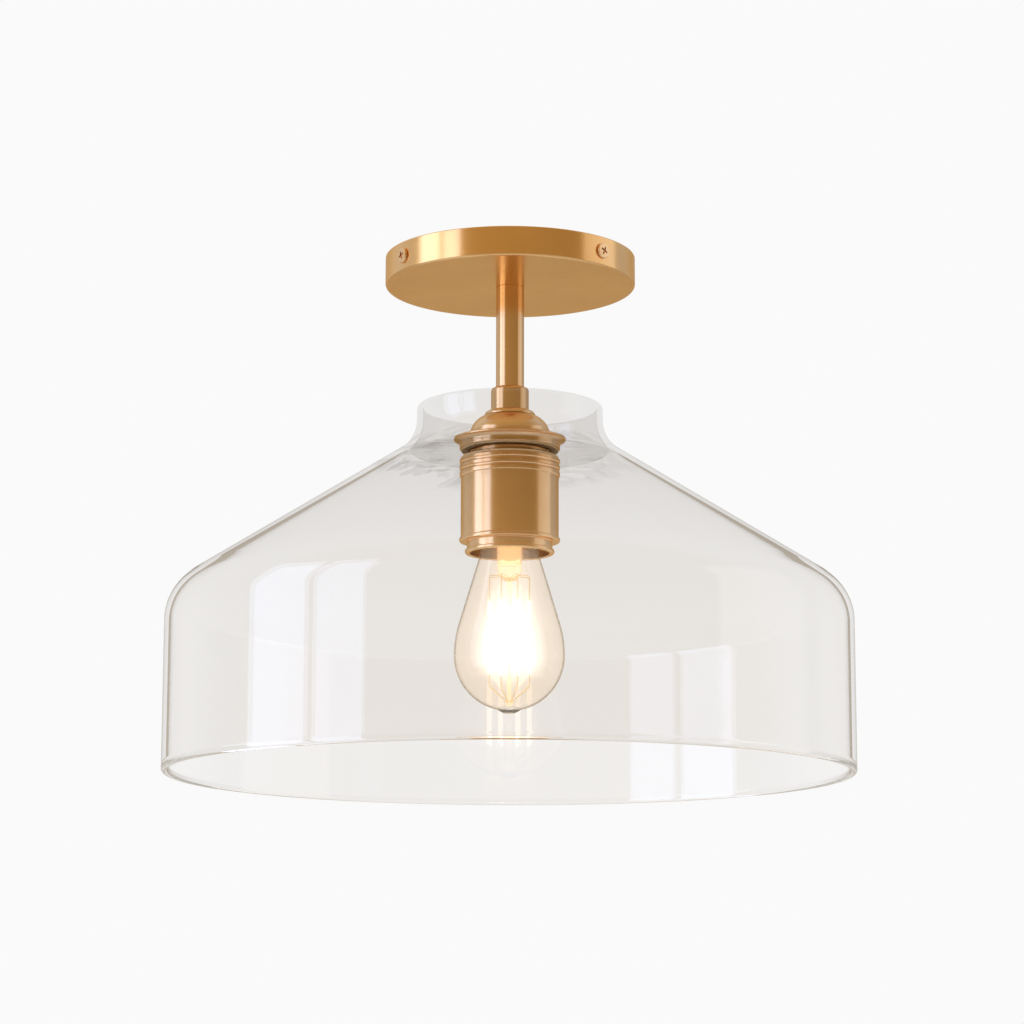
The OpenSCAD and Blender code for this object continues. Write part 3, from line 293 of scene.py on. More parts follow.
def turn(name, outline, steps=128, closed=True, sharp=32):
    """Extrudes a point along the outline and spins it round Z into a smooth closed piece."""
    leave_edit_mode()
    bpy.ops.mesh.primitive_plane_add(size=0.001, location=(0, 0, 0))
    piece = bpy.context.object
    piece.name = piece.data.name = name
    bpy.ops.object.mode_set(mode="EDIT")
    bpy.ops.mesh.select_all(action="SELECT")
    bpy.ops.mesh.merge(type="CENTER")
    points = [Vector((x * MM, 0, z * MM)) for x, z in keep_straight(outline)]
    bpy.ops.transform.translate(value=points[0])
    for a, b in zip(points, points[1:]):
        bpy.ops.mesh.extrude_region_move(TRANSFORM_OT_translate={"value": b - a})
    bpy.ops.object.mode_set(mode="OBJECT")
    if closed:
        ends = (0, len(piece.data.vertices) - 1)
        for v in piece.data.vertices:
            v.select = v.index in ends
        bpy.ops.object.mode_set(mode="EDIT")
        bpy.ops.mesh.edge_face_add()
    bpy.ops.object.mode_set(mode="EDIT")
    bpy.ops.mesh.select_all(action="SELECT")
    bpy.ops.mesh.spin(steps=steps, angle=2 * math.pi, center=(0, 0, 0), axis=(0, 0, 1))
    bpy.ops.mesh.select_all(action="SELECT")
    bpy.ops.mesh.remove_doubles(threshold=WELD)
    bpy.ops.mesh.normals_make_consistent(inside=False)
    bpy.ops.object.mode_set(mode="OBJECT")
    bpy.ops.object.shade_smooth_by_angle(angle=math.radians(sharp))
    print(name, "has", len(piece.data.polygons), "faces")
    return piece


def stand_for(piece, body, slot, *old):
    """The piece rides on a body and replaces the model's own node; the slot is not used."""
    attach(piece, body)
    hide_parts(*old)


# %% [markdown]
# ## Finishes
# Turned metal has fine lines that run round the axis, so its pattern is read from the distance to
# the axis and the height, never from the angle. Photographs of metal could give such lines too;
# noise is used, because it has no seam and fits any size. Every finish starts from the same shader,
# and only its grain, colour and roughness change.

# %% Helpers for finishes
def new_finish(name, **values):
    """A material with one principled shader; the values go on its own sockets."""
    material = bpy.data.materials.new(name)
    material.use_nodes = True
    shader = material.node_tree.nodes["Principled BSDF"]
    set_sockets(shader, **values)
    return material, material.node_tree, shader


def place_in_model(tree):
    """The sockets X, Y and Z of the place on the model, in metres."""
    at = add_node(tree, "ShaderNodeTexCoord")
    return add_node(tree, "ShaderNodeSeparateXYZ", Vector=at.outputs["Object"]).outputs


def axis_distance(tree, place):
    """The distance of a place to the axis, in metres."""
    flat = add_node(tree, "ShaderNodeCombineXYZ", X=place["X"], Y=place["Y"])
    away = add_node(tree, "ShaderNodeVectorMath", {"operation": "LENGTH"}, Vector=flat.outputs[0])
    return away.outputs["Value"]


def lathe_pattern(tree, fine):
    """Noise that depends on the distance to the axis and the height: lines that run round."""
    place = place_in_model(tree)
    at = add_node(tree, "ShaderNodeCombineXYZ", X=axis_distance(tree, place), Z=place["Z"])
    noise = add_node(tree, "ShaderNodeTexNoise", Scale=fine, Detail=3.0, Roughness=0.6,
                     Vector=at.outputs[0])
    return noise.outputs["Fac"]


def cloud_pattern(tree, fine, detail=2.0):
    """Soft patches on object coordinates."""
    at = add_node(tree, "ShaderNodeTexCoord")
    noise = add_node(tree, "ShaderNodeTexNoise", Scale=fine, Detail=detail, Roughness=0.5,
                     Vector=at.outputs["Object"])
    return noise.outputs["Fac"]


def bump(tree, shader, pattern, strength, distance):
    """Raises the surface a little where the pattern is light, on top of any bump before it."""
    node = add_node(tree, "ShaderNodeBump", Strength=strength, Distance=distance, Height=pattern)
    for before in shader.inputs["Normal"].links:
        plug(before.from_socket, node.inputs["Normal"])
    plug(node.outputs[0], shader.inputs["Normal"])


# %% [markdown]
# ### Brass and plain metals
# The brass is polished: golden, a little orange where it mirrors itself, with very fine lathe lines
# that blur what it mirrors. Cloudy patches change the colour and the blur by a few parts in a
# hundred, as on real spun brass. The lines could be modelled, but they are far finer than a
# millimetre, so a shallow bump is enough. The canopy is a spun sheet with slow dents. The stem and
# its collar get a darker copy of the brass: painted shade for the shadow of the canopy.

# %% Metals
LATHE_LINE_DEPTH = 0.00002
DENTS_FINE, PATCHES_FINE = 22, 28


def turned_metal(name, light, dark, rough, lines=900, strength=0.25, dents=0.0, spread=0.05):
    """A metal with lathe lines, soft patches and, if asked, the slow dents of spun sheet."""
    material, tree, shader = new_finish(name, Metallic=1.0)
    if dents:
        bump(tree, shader, cloud_pattern(tree, DENTS_FINE, 1.5), 0.4, dents)
    patches = cloud_pattern(tree, PATCHES_FINE)
    tint = colour_ramp(tree, patches, [(0.3, dark), (0.7, light)])
    grain = lathe_pattern(tree, lines)
    blur = colour_ramp(tree, grain, [(0.3, rough - spread), (0.7, rough + spread)])
    set_sockets(shader, Base_Color=tint, Roughness=blur)
    bump(tree, shader, grain, strength, LATHE_LINE_DEPTH)
    return material


brass = turned_metal("natural_brass", (0.94, 0.555, 0.195), (0.86, 0.485, 0.155), 0.25,
                     strength=0.012, dents=0.0008, spread=0.015)
canopy_brass = turned_metal("canopy_brass", (0.94, 0.535, 0.155), (0.86, 0.465, 0.125), 0.19,
                            strength=0.02, dents=0.0012, spread=0.02)
# Painted shade: this darker copy of the brass stands for the canopy's shadow on the stem and
# collar.
shaded_tube_brass = turned_metal("shaded_tube_brass", (0.74, 0.4, 0.11), (0.66, 0.35, 0.09), 0.2,
                          strength=0.02, dents=0.0006, spread=0.02)
inner_brass = turned_metal("raw_brass", (0.70, 0.46, 0.2), (0.58, 0.37, 0.15), 0.38, 600)
zinc = turned_metal("zinc_plate", (0.66, 0.67, 0.69), (0.55, 0.56, 0.58), 0.34, 400)
nickel = turned_metal("nickel_cap", (0.72, 0.68, 0.6), (0.62, 0.58, 0.5), 0.28, 500)
print("six metals")

# %% [markdown]
# The three visible brasses are lacquered. The lacquer adds a pale, soft shine on the faces that
# look at the eye and fades on those that turn away, so the edges keep the deep colour of the metal.
# A second shader could be mixed in; the coat of the same shader does it with one number.

# %% Lacquer
for metal, coat_ior in ((brass, 3.0), (canopy_brass, 2.2), (shaded_tube_brass, 2.7)):
    tree = metal.node_tree
    slant = add_node(tree, "ShaderNodeLayerWeight", Blend=0.5)
    lacquer = map_range(tree, slant.outputs["Facing"], 0.55, 0.78, 1.0, 0.0)
    set_sockets(tree.nodes["Principled BSDF"], Specular_Tint=(1.0, 0.88, 0.7, 1),
                Anisotropic=0.3, Coat_IOR=coat_ior, Coat_Roughness=0.16, Coat_Weight=lacquer)
print("three lacquered brasses")

# %% [markdown]
# ## Canopy
# The canopy is a shallow cup spun from sheet. Its lower edge is rounded by the spinning, its rim is
# only broken. It could be a cylinder with a thickness modifier; half of its section is drawn
# instead, wall and all, because that keeps both roundings exact.

# %% Canopy
canopy = turn("canopy_shell", [
    (64.8, 0), *arc(65.5, -0.5, 0.5, 90, 0, 4), *arc(64.6, -14.1, 1.4, 0, -90, 8),
    (40, -15.5), (20, -15.5), (5.1, -15.5), (5.1, -14.3), (20, -14.3), (40, -14.3),
    *arc(64.2, -13.7, 0.6, -90, 0, 4)], steps=192)
canopy.data.materials.append(canopy_brass)
stand_for(canopy, "fitting", "brass", "canopy")

# %% [markdown]
# ## Side screws
# Three screws with domed heads and a cross recess hold the canopy to the ears of the plate inside.
# One is turned, gets its recess and is copied, because three screws made one by one would only
# repeat the work.

# %% One screw
screw = turn("side_screw_1", [
    (0, -8), (1.7, -8), (2.0, -7.7), (2.0, 0), (3.8, 0), (4.0, 0.2), (4.0, 0.55),
    *arc(3.1, 0.65, 0.9, 0, 50, 4), (2.4, 1.5), (1.2, 1.6), (0, 1.62)], steps=48, closed=False)

# %% [markdown]
# The recess is two crossed bars: a cube and its copy, turned by a quarter. A boolean cuts them out
# of the head, because flat walls are the one thing that turning can't give.

# %% Its cross recess
CROSS_BAR = (4.4 * MM, 0.95 * MM, 2.2 * MM)

leave_edit_mode()
bpy.ops.mesh.primitive_cube_add(size=1, location=(0, 0, 1.5 * MM))
cross = bpy.context.object
cross.scale = CROSS_BAR
bpy.ops.object.transform_apply(location=True, rotation=True, scale=True)
bpy.ops.object.mode_set(mode="EDIT")
bpy.ops.mesh.select_all(action="SELECT")
bpy.ops.mesh.duplicate()
bpy.ops.transform.rotate(value=math.radians(90), orient_axis="Z", center_override=(0, 0, 0))
bpy.ops.object.mode_set(mode="OBJECT")
cut = screw.modifiers.new("cross", "BOOLEAN")
cut.operation = "DIFFERENCE"
cut.object = cross
cut.solver = "EXACT"
cut.use_self = True
leave_edit_mode()
bpy.context.view_layer.objects.active = screw
screw.select_set(True)
bpy.ops.object.modifier_apply(modifier=cut.name)
bpy.data.objects.remove(cross)
bpy.ops.object.shade_smooth_by_angle(angle=math.radians(30))
print("the recessed screw has", len(screw.data.polygons), "faces")

# %% [markdown]
# Each screw has two angles: where it sits round the canopy, counted from the front, and how far its
# recess is turned.

# %% Three screws round the canopy
SCREW_ANGLES = [(-57, 20), (46, 65), (175, 40)]
seat = Matrix.Translation((0, -0.066, -0.00775))
lie_down = Matrix.Rotation(math.radians(90), 4, "X")

side_screws = [screw]
for i in (2, 3):
    copy = screw.copy()
    copy.data = screw.data.copy()
    copy.name = f"side_screw_{i}"
    scene.collection.objects.link(copy)
    side_screws.append(copy)
for piece, (around, lean) in zip(side_screws, SCREW_ANGLES):
    place = Matrix.Rotation(math.radians(around), 4, "Z") @ seat @ lie_down
    piece.data.transform(place @ Matrix.Rotation(math.radians(lean), 4, "Z"))
    piece.data.materials.append(brass)
    stand_for(piece, "fitting", "brass", "canopy_side_screws")
print("side screws:", len(side_screws))

# %% [markdown]
# ## Stem and collar
# The stem is a plain tube between the canopy and the dome. A collar with a rounded upper edge hides
# the joint at its foot. One outline could hold both; two pieces keep the fine line between them, as
# on the real light.

# %% Stem and collar
DOME_TOP = -82.6

stem = turn("stem_pipe", [
    (6.2, -15.5), (7.25, -15.5), (7.4, -15.65), (7.4, DOME_TOP), (6.2, DOME_TOP)], steps=96)
collar = turn("stem_cuff", [
    (7.5, -70.0), (8.0, -70.0), *arc(8.0, -71.9, 1.9, 90, 0, 8), (9.9, -82.4), (9.7, DOME_TOP),
    (7.5, DOME_TOP)], steps=96)
# The stem and collar carry the darker brass, which is painted shade.
for piece, old in ((stem, "stem_tube"), (collar, "stem_collar")):
    piece.data.materials.append(shaded_tube_brass)
    stand_for(piece, "fitting", "brass", old)

# %% [markdown]
# ## Dome and flange
# The dome starts with a small rounded step, swells to its full width and ends in a short straight
# skirt. Under it, the flange is turned from the solid: a thin lip, a hollow flare, a plain collar
# that presses on the glass, and a threaded spigot through the glass. The thread could be a true
# helix; rings are used, each a notch of three points, because they are turned with the rest and
# look the same from a step away.

# %% Dome and flange
DOME_FOOT = -97.2
THREADS, FIRST_THREAD, THREAD_PITCH = 8, -104.6, 1.5
SPIGOT_R, SPIGOT_BORE_R, SPIGOT_FOOT = 20.6, 18.7, -116.6

dome = turn("socket_cap", [
    (5.1, DOME_TOP), *arc(10.9, -85.1, 2.5, 90, 0, 10), (12.8, -85.1),
    *arc(9.8, -96.0, 11.3, 74, 0, 20), (21.1, DOME_FOOT), *arc(9.8, DOME_FOOT, 10.1, 0, 90, 16),
    (5.1, -87.1)])
thread = []
for i in range(THREADS):
    z = FIRST_THREAD - THREAD_PITCH * i
    thread += [(SPIGOT_R, z + 0.4), (20.2, z), (SPIGOT_R, z - 0.4)]
flange = turn("clamp_flange", [
    (12.3, DOME_FOOT), *arc(28.65, -97.85, 0.65, 90, 0, 5), *arc(28.87, -98.07, 0.43, 0, -90, 4),
    *arc(28.9, -101.1, 2.6, 95, 180, 10), (26.3, -102.9), (26.0, -103.18), (SPIGOT_R, -103.18),
    *thread, (SPIGOT_R, -116.3), (20.3, SPIGOT_FOOT), (SPIGOT_BORE_R, SPIGOT_FOOT),
    (SPIGOT_BORE_R, -99.2), (12.3, -99.2)])
for piece, old in ((dome, "socket_dome"), (flange, "shade_flange")):
    piece.data.materials.append(brass)
    stand_for(piece, "fitting", "brass", old)

# %% [markdown]
# ## Socket cup and end ring
# The cup's upper end has rounded grooves for the fingers, so that it can be screwed up against the
# glass. Its foot has a lip, and the end ring with its bead closes the mouth round the lamp's neck.
# The grooves are drawn in the outline, not cut afterwards, because a turned groove stays smooth.

# %% Socket cup and end ring
CUP_FOOT = -151.8


def groove(z):
    """A rounded groove in the ridged end of the cup."""
    return arc(26.48, z, 1.08, 99.6, 260.4, 10)


cup = turn("screw_cup", [
    (20.9, -108.43), *arc(25.4, -109.33, 0.9, 90, 0, 5), *groove(-111.3), *groove(-114.9),
    *arc(25.7, -117.5, 0.5, 0, -90, 5), (25.6, -118.1), (25.6, -149.0),
    *arc(25.6, -150.3, 0.7, 90, 0, 5), *arc(25.8, -151.3, 0.5, 0, -90, 3), (24.4, CUP_FOOT),
    (24.4, -118.0), (20.9, -118.0)])
end_ring = turn("mouth_ring", [
    (24.35, -146.0), (24.35, CUP_FOOT), (22.6, CUP_FOOT), (22.3, -152.2), (22.3, -155.6),
    *arc(22.7, -156.8, 0.6, 110, 0, 4), *arc(22.4, -157.4, 0.9, 0, -90, 6), (21.0, -158.3),
    (20.7, -158.0), (20.7, -146.0)])
for piece, old in ((cup, "socket_cup"), (end_ring, "end_ring")):
    piece.data.materials.append(brass)
    stand_for(piece, "cup", "brass", old)

# %% [markdown]
# ## Clear glass
# Blown glass is never quite even: its walls swim a little, which shows where it mirrors a window.
# It could be a see-through skin without thickness, but then the rims and the floor in the neck
# would look empty, so it is solid glass. Three things change with the height or with the slant
# towards the eye, and each is a ramp: the shine, a grey tint that is painted shade, and how much
# the glass bends light.

# %% Helpers for glass
def glass_finish(name, colour, wave, fine, bend):
    """Glass with slow waves in its surface; a coat for its shine is set afterwards where needed, so
    the glass can bend light less.
    """
    material, tree, shader = new_finish(
        name, Roughness=0.0, IOR=bend, Transmission_Weight=1.0, Base_Color=(*colour, 1))
    bump(tree, shader, cloud_pattern(tree, fine, 1.0), 0.35, wave)
    return material, tree, shader


def height_ramp(tree, stops):
    """A number that depends on the height: stops are pairs of millimetres and value."""
    foot, top = stops[0][0], stops[-1][0]
    share = map_range(tree, place_in_model(tree)["Z"], foot * MM, top * MM, 0, 1)
    return colour_ramp(tree, share, [((z - foot) / (top - foot), value) for z, value in stops])


# %% [markdown]
# The shine is a clear coat, because a coat can be strong where the glass itself hardly bends the
# light. It is full on the upright wall, nearly full in the neck and weak on the cone, and it fades
# where the glass turns away from the eye.

# %% Clear glass: shine
# The first colour is the glass's own; the second is the grey of the painted shade that its tint
# mixes in.
CLEAR, PAINTED_SHADE_GREY = (0.962, 0.952, 0.942), (0.68, 0.665, 0.65)

clear_glass, tree, shader = glass_finish("clear_glass", CLEAR, 0.0003, 9, 1.02)
slant = add_node(tree, "ShaderNodeLayerWeight", Blend=0.5)
turned_away = slant.outputs["Facing"]
shine = height_ramp(tree, [
    (-275, 1.0), (-185, 1.0), (-172, 0.15), (-112, 0.15), (-100, 0.9), (-80, 0.9)])
softer = map_range(tree, turned_away, 0.28, 0.62, 1.0, 0.03)
set_sockets(shader, Coat_IOR=1.53, Coat_Roughness=0.0,
            Coat_Weight=maths(tree, "MULTIPLY", shine, softer))
print("the shade's shine is set by", len(tree.nodes), "nodes")

# %% [markdown]
# Thick glass swirls at the root of the neck. Real swirls are folds in the glass, and there the
# glass bends and mirrors the light into dark streaks. Here the streaks are painted shade: flat
# streaks of noise in its tint, stronger on the left, because modelled folds would have to be traced
# one by one.
# They begin outside the floor's middle.

# %% Clear glass: painted shade streaks at the neck's root
# Painted shade: dark streaks in the tint round the neck's root, stronger on the left.
root = height_ramp(tree, [
    (-275, 0.0), (-115, 0.0), (-109, 1.0), (-103.6, 1.0), (-100, 0.5), (-96, 0.0), (-80, 0.0)])
at = add_node(tree, "ShaderNodeTexCoord")
flat = add_node(tree, "ShaderNodeMapping", Scale=(16, 48, 60), Vector=at.outputs["Object"])
noise = add_node(tree, "ShaderNodeTexNoise", Scale=2.0, Detail=3.0, Vector=flat.outputs[0])
streak = map_range(tree, noise.outputs["Fac"], 0.47, 0.56, 0.0, 0.85)
place = place_in_model(tree)
left = map_range(tree, place["X"], -0.05, 0.05, 1.5, 0.8)
outer = map_range(tree, axis_distance(tree, place), 0.032, 0.044, 0.0, 1.0)
where = maths(tree, "MULTIPLY", left, outer)
painted_streak_shade = maths(tree, "MULTIPLY", root, maths(tree, "MULTIPLY", streak, where))
print("streaks lie round the neck's root")

# %% [markdown]
# The walls are clear at the foot and get a painted shade that grows greyer towards the neck, and a
# painted shade darkens their edges where the eye looks along the glass. The strongest of the three
# painted shades counts.

# %% Clear glass: tint and painted shade
MIX_SHARE, MIX_FIRST, MIX_SECOND, MIX_RESULT = 0, 6, 7, 2

# Painted shade: the glass gets greyer towards the neck.
painted_grey = height_ramp(tree, [
    (-275, 0.0), (-190, 0.0), (-170, 0.09), (-125, 0.23), (-98, 0.34), (-80, 0.36)])
# Painted shade: darker edges where the glass turns away from the eye.
painted_edge_shade = map_range(tree, turned_away, 0.84, 0.95, 0.0, 0.75)
darker = maths(tree, "MAXIMUM", painted_streak_shade, painted_edge_shade)
tint = add_node(tree, "ShaderNodeMix", {"data_type": "RGBA"})
plug(maths(tree, "MAXIMUM", darker, painted_grey), tint.inputs[MIX_SHARE])
plug((*CLEAR, 1), tint.inputs[MIX_FIRST])
plug((*PAINTED_SHADE_GREY, 1), tint.inputs[MIX_SECOND])
set_sockets(shader, Base_Color=tint.outputs[MIX_RESULT])
print("the tint goes from", CLEAR, "to", PAINTED_SHADE_GREY)

# %% [markdown]
# Thin parallel walls hardly shift what stands behind them, so the glass bends light only a trace;
# the round rim at its foot bends it as solid glass does. The depth of the glass takes a little
# light away.

# %% Clear glass: bend and depth
rims = height_ramp(tree, [
    (-275, 1.0), (-271.2, 1.0), (-270.4, 0.012), (-115, 0.012), (-110, 0.0), (-80, 0.0)])
set_sockets(shader, IOR=map_range(tree, rims, 0.0, 1.0, 1.001, 1.4))
depth = add_node(tree, "ShaderNodeVolumeAbsorption", Color=(0.86, 0.85, 0.84, 1), Density=12.0)
set_sockets(tree.nodes["Material Output"], Volume=depth.outputs[0])
print("clear glass has", len(tree.nodes), "nodes")

# %% [markdown]
# ### Lamp's glass and amber glass
# The lamp's glass is a thin skin with a painted glow in it, which stands in for the filaments'
# light in the glass; it is strongest beside the filaments and where the skin faces the eye. The
# mount inside is amber glass with a faint painted glow for the same light.

# %% Lamp's glass and amber glass
GLOW_GAIN, GLOW_BASE = 0.22, 0.025

lamp_glass, tree, shader = glass_finish("lamp_glass", (1.0, 0.945, 0.88), 0.0002, 30, 1.05)
slant = add_node(tree, "ShaderNodeLayerWeight", Blend=0.5)
turned_away = slant.outputs["Facing"]
# Painted glow: emission in the lamp's glass, strongest where the skin faces the eye.
glow_facing = map_range(tree, turned_away, 0.03, 0.26, 1.0, 0.06, "SMOOTHSTEP")
glow_height = height_ramp(tree, [
    (-236, 0.04), (-226, 0.12), (-219, 0.9), (-188, 1.0), (-176, 0.35), (-160, 0.08)])
painted_glow = maths(tree, "MULTIPLY", glow_facing, glow_height)
set_sockets(shader, Emission_Color=(1.0, 0.92, 0.8, 1), Coat_Roughness=0.0,
            Emission_Strength=maths(tree, "MULTIPLY_ADD", painted_glow, GLOW_GAIN, GLOW_BASE),
            Coat_Weight=map_range(tree, turned_away, 0.45, 0.85, 0.7, 0.12))

amber_glass, tree, shader = glass_finish("amber_glass", (1.0, 0.9, 0.74), 0.0006, 300, 1.3)
# Painted glow: the amber glass emits a little, for the filaments' light in it.
set_sockets(shader, Emission_Color=(1.0, 0.7, 0.4, 1), Emission_Strength=0.2)
print("three glasses")

# %% [markdown]
# ## Glass shade
# The bell is one piece of glass of even thickness with rounded rims. Its outer and inner outlines
# are parallel: a straight neck, a hollow curve, a straight cone, a round shoulder and an upright
# wall. A glass floor in the foot of the neck has the hole for the spigot. The floor keeps a few
# hundredths of a millimetre from the flange and the gaskets, because two faces in one place would
# flicker. A cone and a cylinder could be joined; the outline is worked out from a few measures
# instead, so that straights and curves meet without a kink.

# %% The shade's measures
SLOPE = 32.6
WALL = 3.4
NECK_R, NECK_TOP, NECK_STRAIGHT = 48.7, -80.2, 7.0
FLOOR_TOP, FLOOR_FOOT = -104.03, -107.57
HOLE_R, CHAMFER = 21.2, 0.3
FILLET_R, SHOULDER_R, BODY_R, UPRIGHT = 21.2, 26.3, 178.0, 78.2

fillet = (NECK_R + FILLET_R, NECK_TOP - NECK_STRAIGHT)
shoulder_x = BODY_R - SHOULDER_R
sin_s, cos_s = math.sin(math.radians(SLOPE)), math.cos(math.radians(SLOPE))
fall = (FILLET_R + SHOULDER_R + (shoulder_x - fillet[0]) * sin_s) / cos_s
shoulder = (shoulder_x, fillet[1] - fall)
rim = shoulder[1] - UPRIGHT
half = WALL / 2
print("the bell's foot is at", round(rim, 2), "mm")

# %% [markdown]
# The outline goes down the outside from the neck and comes back up the inside. The inner curves
# share their centres with the outer ones, because that keeps the wall even.

# %% Shade
outside = [
    *arc(NECK_R - half, NECK_TOP - half, half, 90, 0, 6),
    *arc(*fillet, FILLET_R, 180, 270 - SLOPE, 20), *arc(*shoulder, SHOULDER_R, 90 - SLOPE, 0, 20),
    (BODY_R, (shoulder[1] + rim) / 2), *arc(BODY_R - half, rim + half, half, 0, -90, 6)]
floor_angle = 180 + math.degrees(math.asin((fillet[1] - FLOOR_TOP) / (FILLET_R + WALL)))
cone_top_z = shoulder[1] + (SHOULDER_R - WALL) * cos_s
cone_top_x = shoulder[0] + (SHOULDER_R - WALL) * sin_s
foot_x = cone_top_x - (FLOOR_FOOT - cone_top_z) / math.tan(math.radians(SLOPE))
inside = [
    *arc(BODY_R - half, rim + half, half, -90, -180, 6),
    (BODY_R - WALL, (shoulder[1] + rim) / 2),
    *arc(*shoulder, SHOULDER_R - WALL, 0, 90 - SLOPE, 20), (foot_x, FLOOR_FOOT),
    (40, FLOOR_FOOT), (21.5, FLOOR_FOOT), (HOLE_R, FLOOR_FOOT + CHAMFER),
    (HOLE_R, FLOOR_TOP - CHAMFER), (21.5, FLOOR_TOP), (40, FLOOR_TOP),
    *arc(*fillet, FILLET_R + WALL, floor_angle, 180, 12),
    *arc(NECK_R - half, NECK_TOP - half, half, 180, 90, 6)]
bell = turn("glass_bell", outside + inside[:-1], steps=256, sharp=30)
bell.data.materials.append(clear_glass)
stand_for(bell, "shade", "clear_glass", "glass_shade")

# %% [markdown]
# ## Lamp
# The lamp's glass is a thin skin: half a ball, a side that leans in on a large radius, a straight
# flank, and a hollow throat into the neck. A shallow pip marks where it was sealed. A ball could be
# pulled into this shape, but arcs that touch keep it smooth at every join.

# %% Lamp glass
BELLY, BELLY_R, PIP_R = -211.75, 28.75, 9.19
LEAN, SIDE_R = 16.7, 58


def skin(t):
    """The lamp's outline, drawn in by t, from its neck down to its belly's foot."""
    return [
        (13.4 - t, -128.2), *arc(73.4, -143.38, 60 + t, 180, 180 + LEAN, 14),
        *arc(BELLY_R - SIDE_R, BELLY, SIDE_R - t, LEAN, 0, 12),
        *arc(0, BELLY, BELLY_R - t, 0, -77.9, 24)]


pip = arc(0, -242.1 + PIP_R, PIP_R, -49.2, -90, 8)
bulb = turn("lamp_bulb", skin(0.0)[:-1] + pip + [(0, -239.7)] + skin(0.8)[::-1], sharp=30)
bulb.data.materials.append(lamp_glass)
stand_for(bulb, "lamp", "bulb_glass", "bulb_glass")

# %% [markdown]
# ## Glass mount and filaments
# An amber glass tube closes at its foot and carries a thin rod with a bead at its end. Both are one
# turned piece, because on the real lamp they are melted together.

# %% Mount
mount = turn("lamp_mount", [
    (0, -238.3), *arc(0, -236.1, 2.2, -70, 60, 8), (1.1, -233.8), (1.1, -174.2),
    *arc(0, -166.6, 6.4, -78, 0, 10), (6.4, -150), (6.4, -138), *arc(11.4, -135.4, 5.0, 180, 90, 6),
    (12.5, -130.2), (12.5, -129.2), (5.4, -129.2), (5.4, -163.5), (4.0, -164.8), (0, -165)],
    steps=64, closed=False)
mount.data.materials.append(amber_glass)
stand_for(mount, "lamp", "amber_glass", "bulb_mount")

# %% [markdown]
# Eight coated filaments stand in a ring between bent wires. Each is a cylinder with rounded ends,
# turned to its place in the ring. The coating's grains could be modelled, but the glow hides them,
# so a fine bump stands for them.

# %% Filaments
FILAMENTS, RING_R, FILAMENT_R, END_ROUND = 8, 11.2, 0.8, 0.4
FILAMENT_FOOT, FILAMENT_HEAD = -220.95, -183.95

hot, tree, shader = new_finish(
    "filament_glow", Roughness=0.6, Base_Color=(1, 0.88, 0.6, 1),
    Emission_Color=(1.0, 0.9, 0.72, 1), Emission_Strength=2.2)
bump(tree, shader, cloud_pattern(tree, 900), 0.3, 0.0001)
for i in range(FILAMENTS):
    leave_edit_mode()
    bpy.ops.mesh.primitive_cylinder_add(
        vertices=20, radius=FILAMENT_R * MM, depth=(FILAMENT_HEAD - FILAMENT_FOOT) * MM,
        location=(RING_R * MM, 0, (FILAMENT_HEAD + FILAMENT_FOOT) / 2 * MM))
    strip = bpy.context.object
    strip.name = strip.data.name = f"filament_{i + 1}"
    bpy.ops.object.mode_set(mode="EDIT")
    bpy.ops.mesh.select_mode(type="FACE")
    bpy.ops.mesh.select_all(action="DESELECT")
    bpy.ops.object.mode_set(mode="OBJECT")
    for face in strip.data.polygons:
        face.select = len(face.vertices) > 4
    bpy.ops.object.mode_set(mode="EDIT")
    bpy.ops.mesh.bevel(offset=END_ROUND * MM, segments=3, affect="EDGES")
    bpy.ops.object.mode_set(mode="OBJECT")
    bpy.ops.object.transform_apply(location=True, rotation=True, scale=True)
    strip.data.transform(Matrix.Rotation(math.radians((i + 0.5) * 360 / FILAMENTS), 4, "Z"))
    bpy.ops.object.shade_smooth_by_angle(angle=math.radians(40))
    strip.data.materials.append(hot)
    stand_for(strip, "lamp", "filament", "bulb_filaments")
print(FILAMENTS, "filaments")

# %% [markdown]
# ## Small and hidden pieces
# The rest keeps the model's own shape: plates, nuts, leads, wires and the lampholder's pieces. They
# could be drawn again too, but little of them is ever seen. They get their real finishes, because
# they show from above and when the cup comes down. The bent wires of the lamp glow a little in the
# light of the filaments.

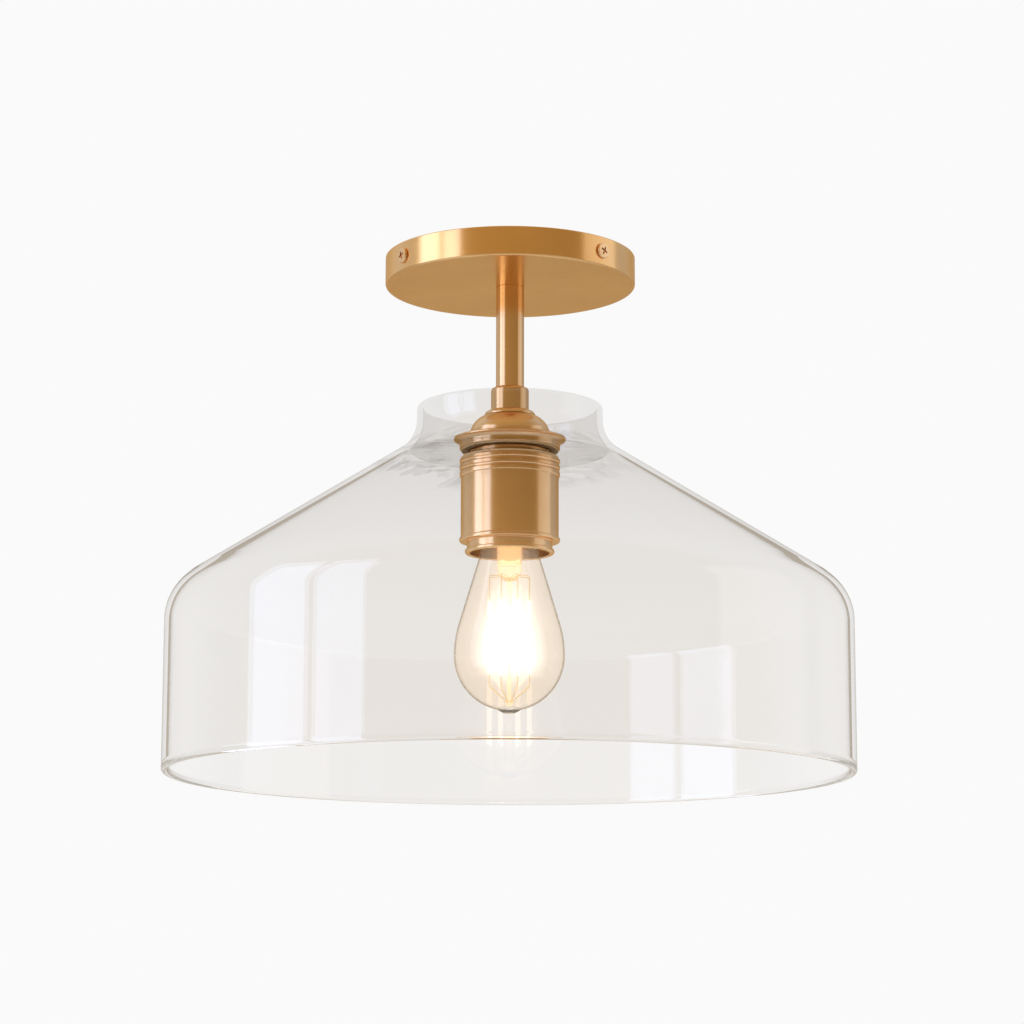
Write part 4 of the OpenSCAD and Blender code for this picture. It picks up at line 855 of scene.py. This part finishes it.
# %% Moulded, painted and rubber finishes
def moulded(name, light, dark, rough, fine=300, **values):
    """Plastic, rubber or paint with a fine uneven skin."""
    material, tree, shader = new_finish(name, **values)
    patches = cloud_pattern(tree, fine)
    tint = colour_ramp(tree, patches, [(0.35, dark), (0.65, light)])
    blur = colour_ramp(tree, patches, [(0.35, rough - 0.05), (0.65, rough + 0.05)])
    set_sockets(shader, Base_Color=tint, Roughness=blur)
    bump(tree, shader, patches, 0.2, 0.00005)
    return material


wire = turned_metal("support_wire", (0.98, 0.88, 0.7), (0.92, 0.8, 0.6), 0.55, 700)
set_sockets(wire.node_tree.nodes["Principled BSDF"],
            Emission_Color=(1.0, 0.8, 0.5, 1), Emission_Strength=0.22)
finishes = {
    "brass": inner_brass,
    "steel": zinc,
    "green_steel": moulded(
        "green_screw", (0.08, 0.3, 0.11), (0.05, 0.22, 0.08), 0.35, Metallic=0.4),
    "white_plastic": moulded("white_block", (0.82, 0.81, 0.77), (0.76, 0.75, 0.7), 0.5),
    "green_cover": moulded("green_lead", (0.06, 0.3, 0.1), (0.04, 0.24, 0.07), 0.4),
    "black_cover": moulded("black_lead", (0.02, 0.02, 0.022), (0.012, 0.012, 0.014), 0.4),
    "white_cover": moulded("white_lead", (0.8, 0.79, 0.75), (0.74, 0.73, 0.68), 0.4),
    "phenolic": moulded("phenolic", (0.022, 0.02, 0.02), (0.012, 0.011, 0.011), 0.28, 200),
    "gasket_rubber": moulded("gasket", (0.85, 0.58, 0.3), (0.78, 0.52, 0.26), 0.5),
    "fibre": moulded("fibre_liner", (0.68, 0.58, 0.44), (0.6, 0.5, 0.37), 0.6, 500),
    "cap_metal": nickel,
    "black_glass": moulded("cap_insulator", (0.012, 0.012, 0.012), (0.006, 0.006, 0.006), 0.15),
    "wire_metal": wire,
    "clear_glass": clear_glass,
    "bulb_glass": lamp_glass,
    "amber_glass": amber_glass,
    "filament": hot,
}
print("slots with a finish:", len(finishes))

# %% Put the finishes on the model's own pieces
for part in frame["record"]["subparts"]:
    node = nodes[part["node"]]
    node.data.materials.clear()
    node.data.materials.append(finishes[part["material_slot"]])
print("finishes on", len(nodes), "nodes")
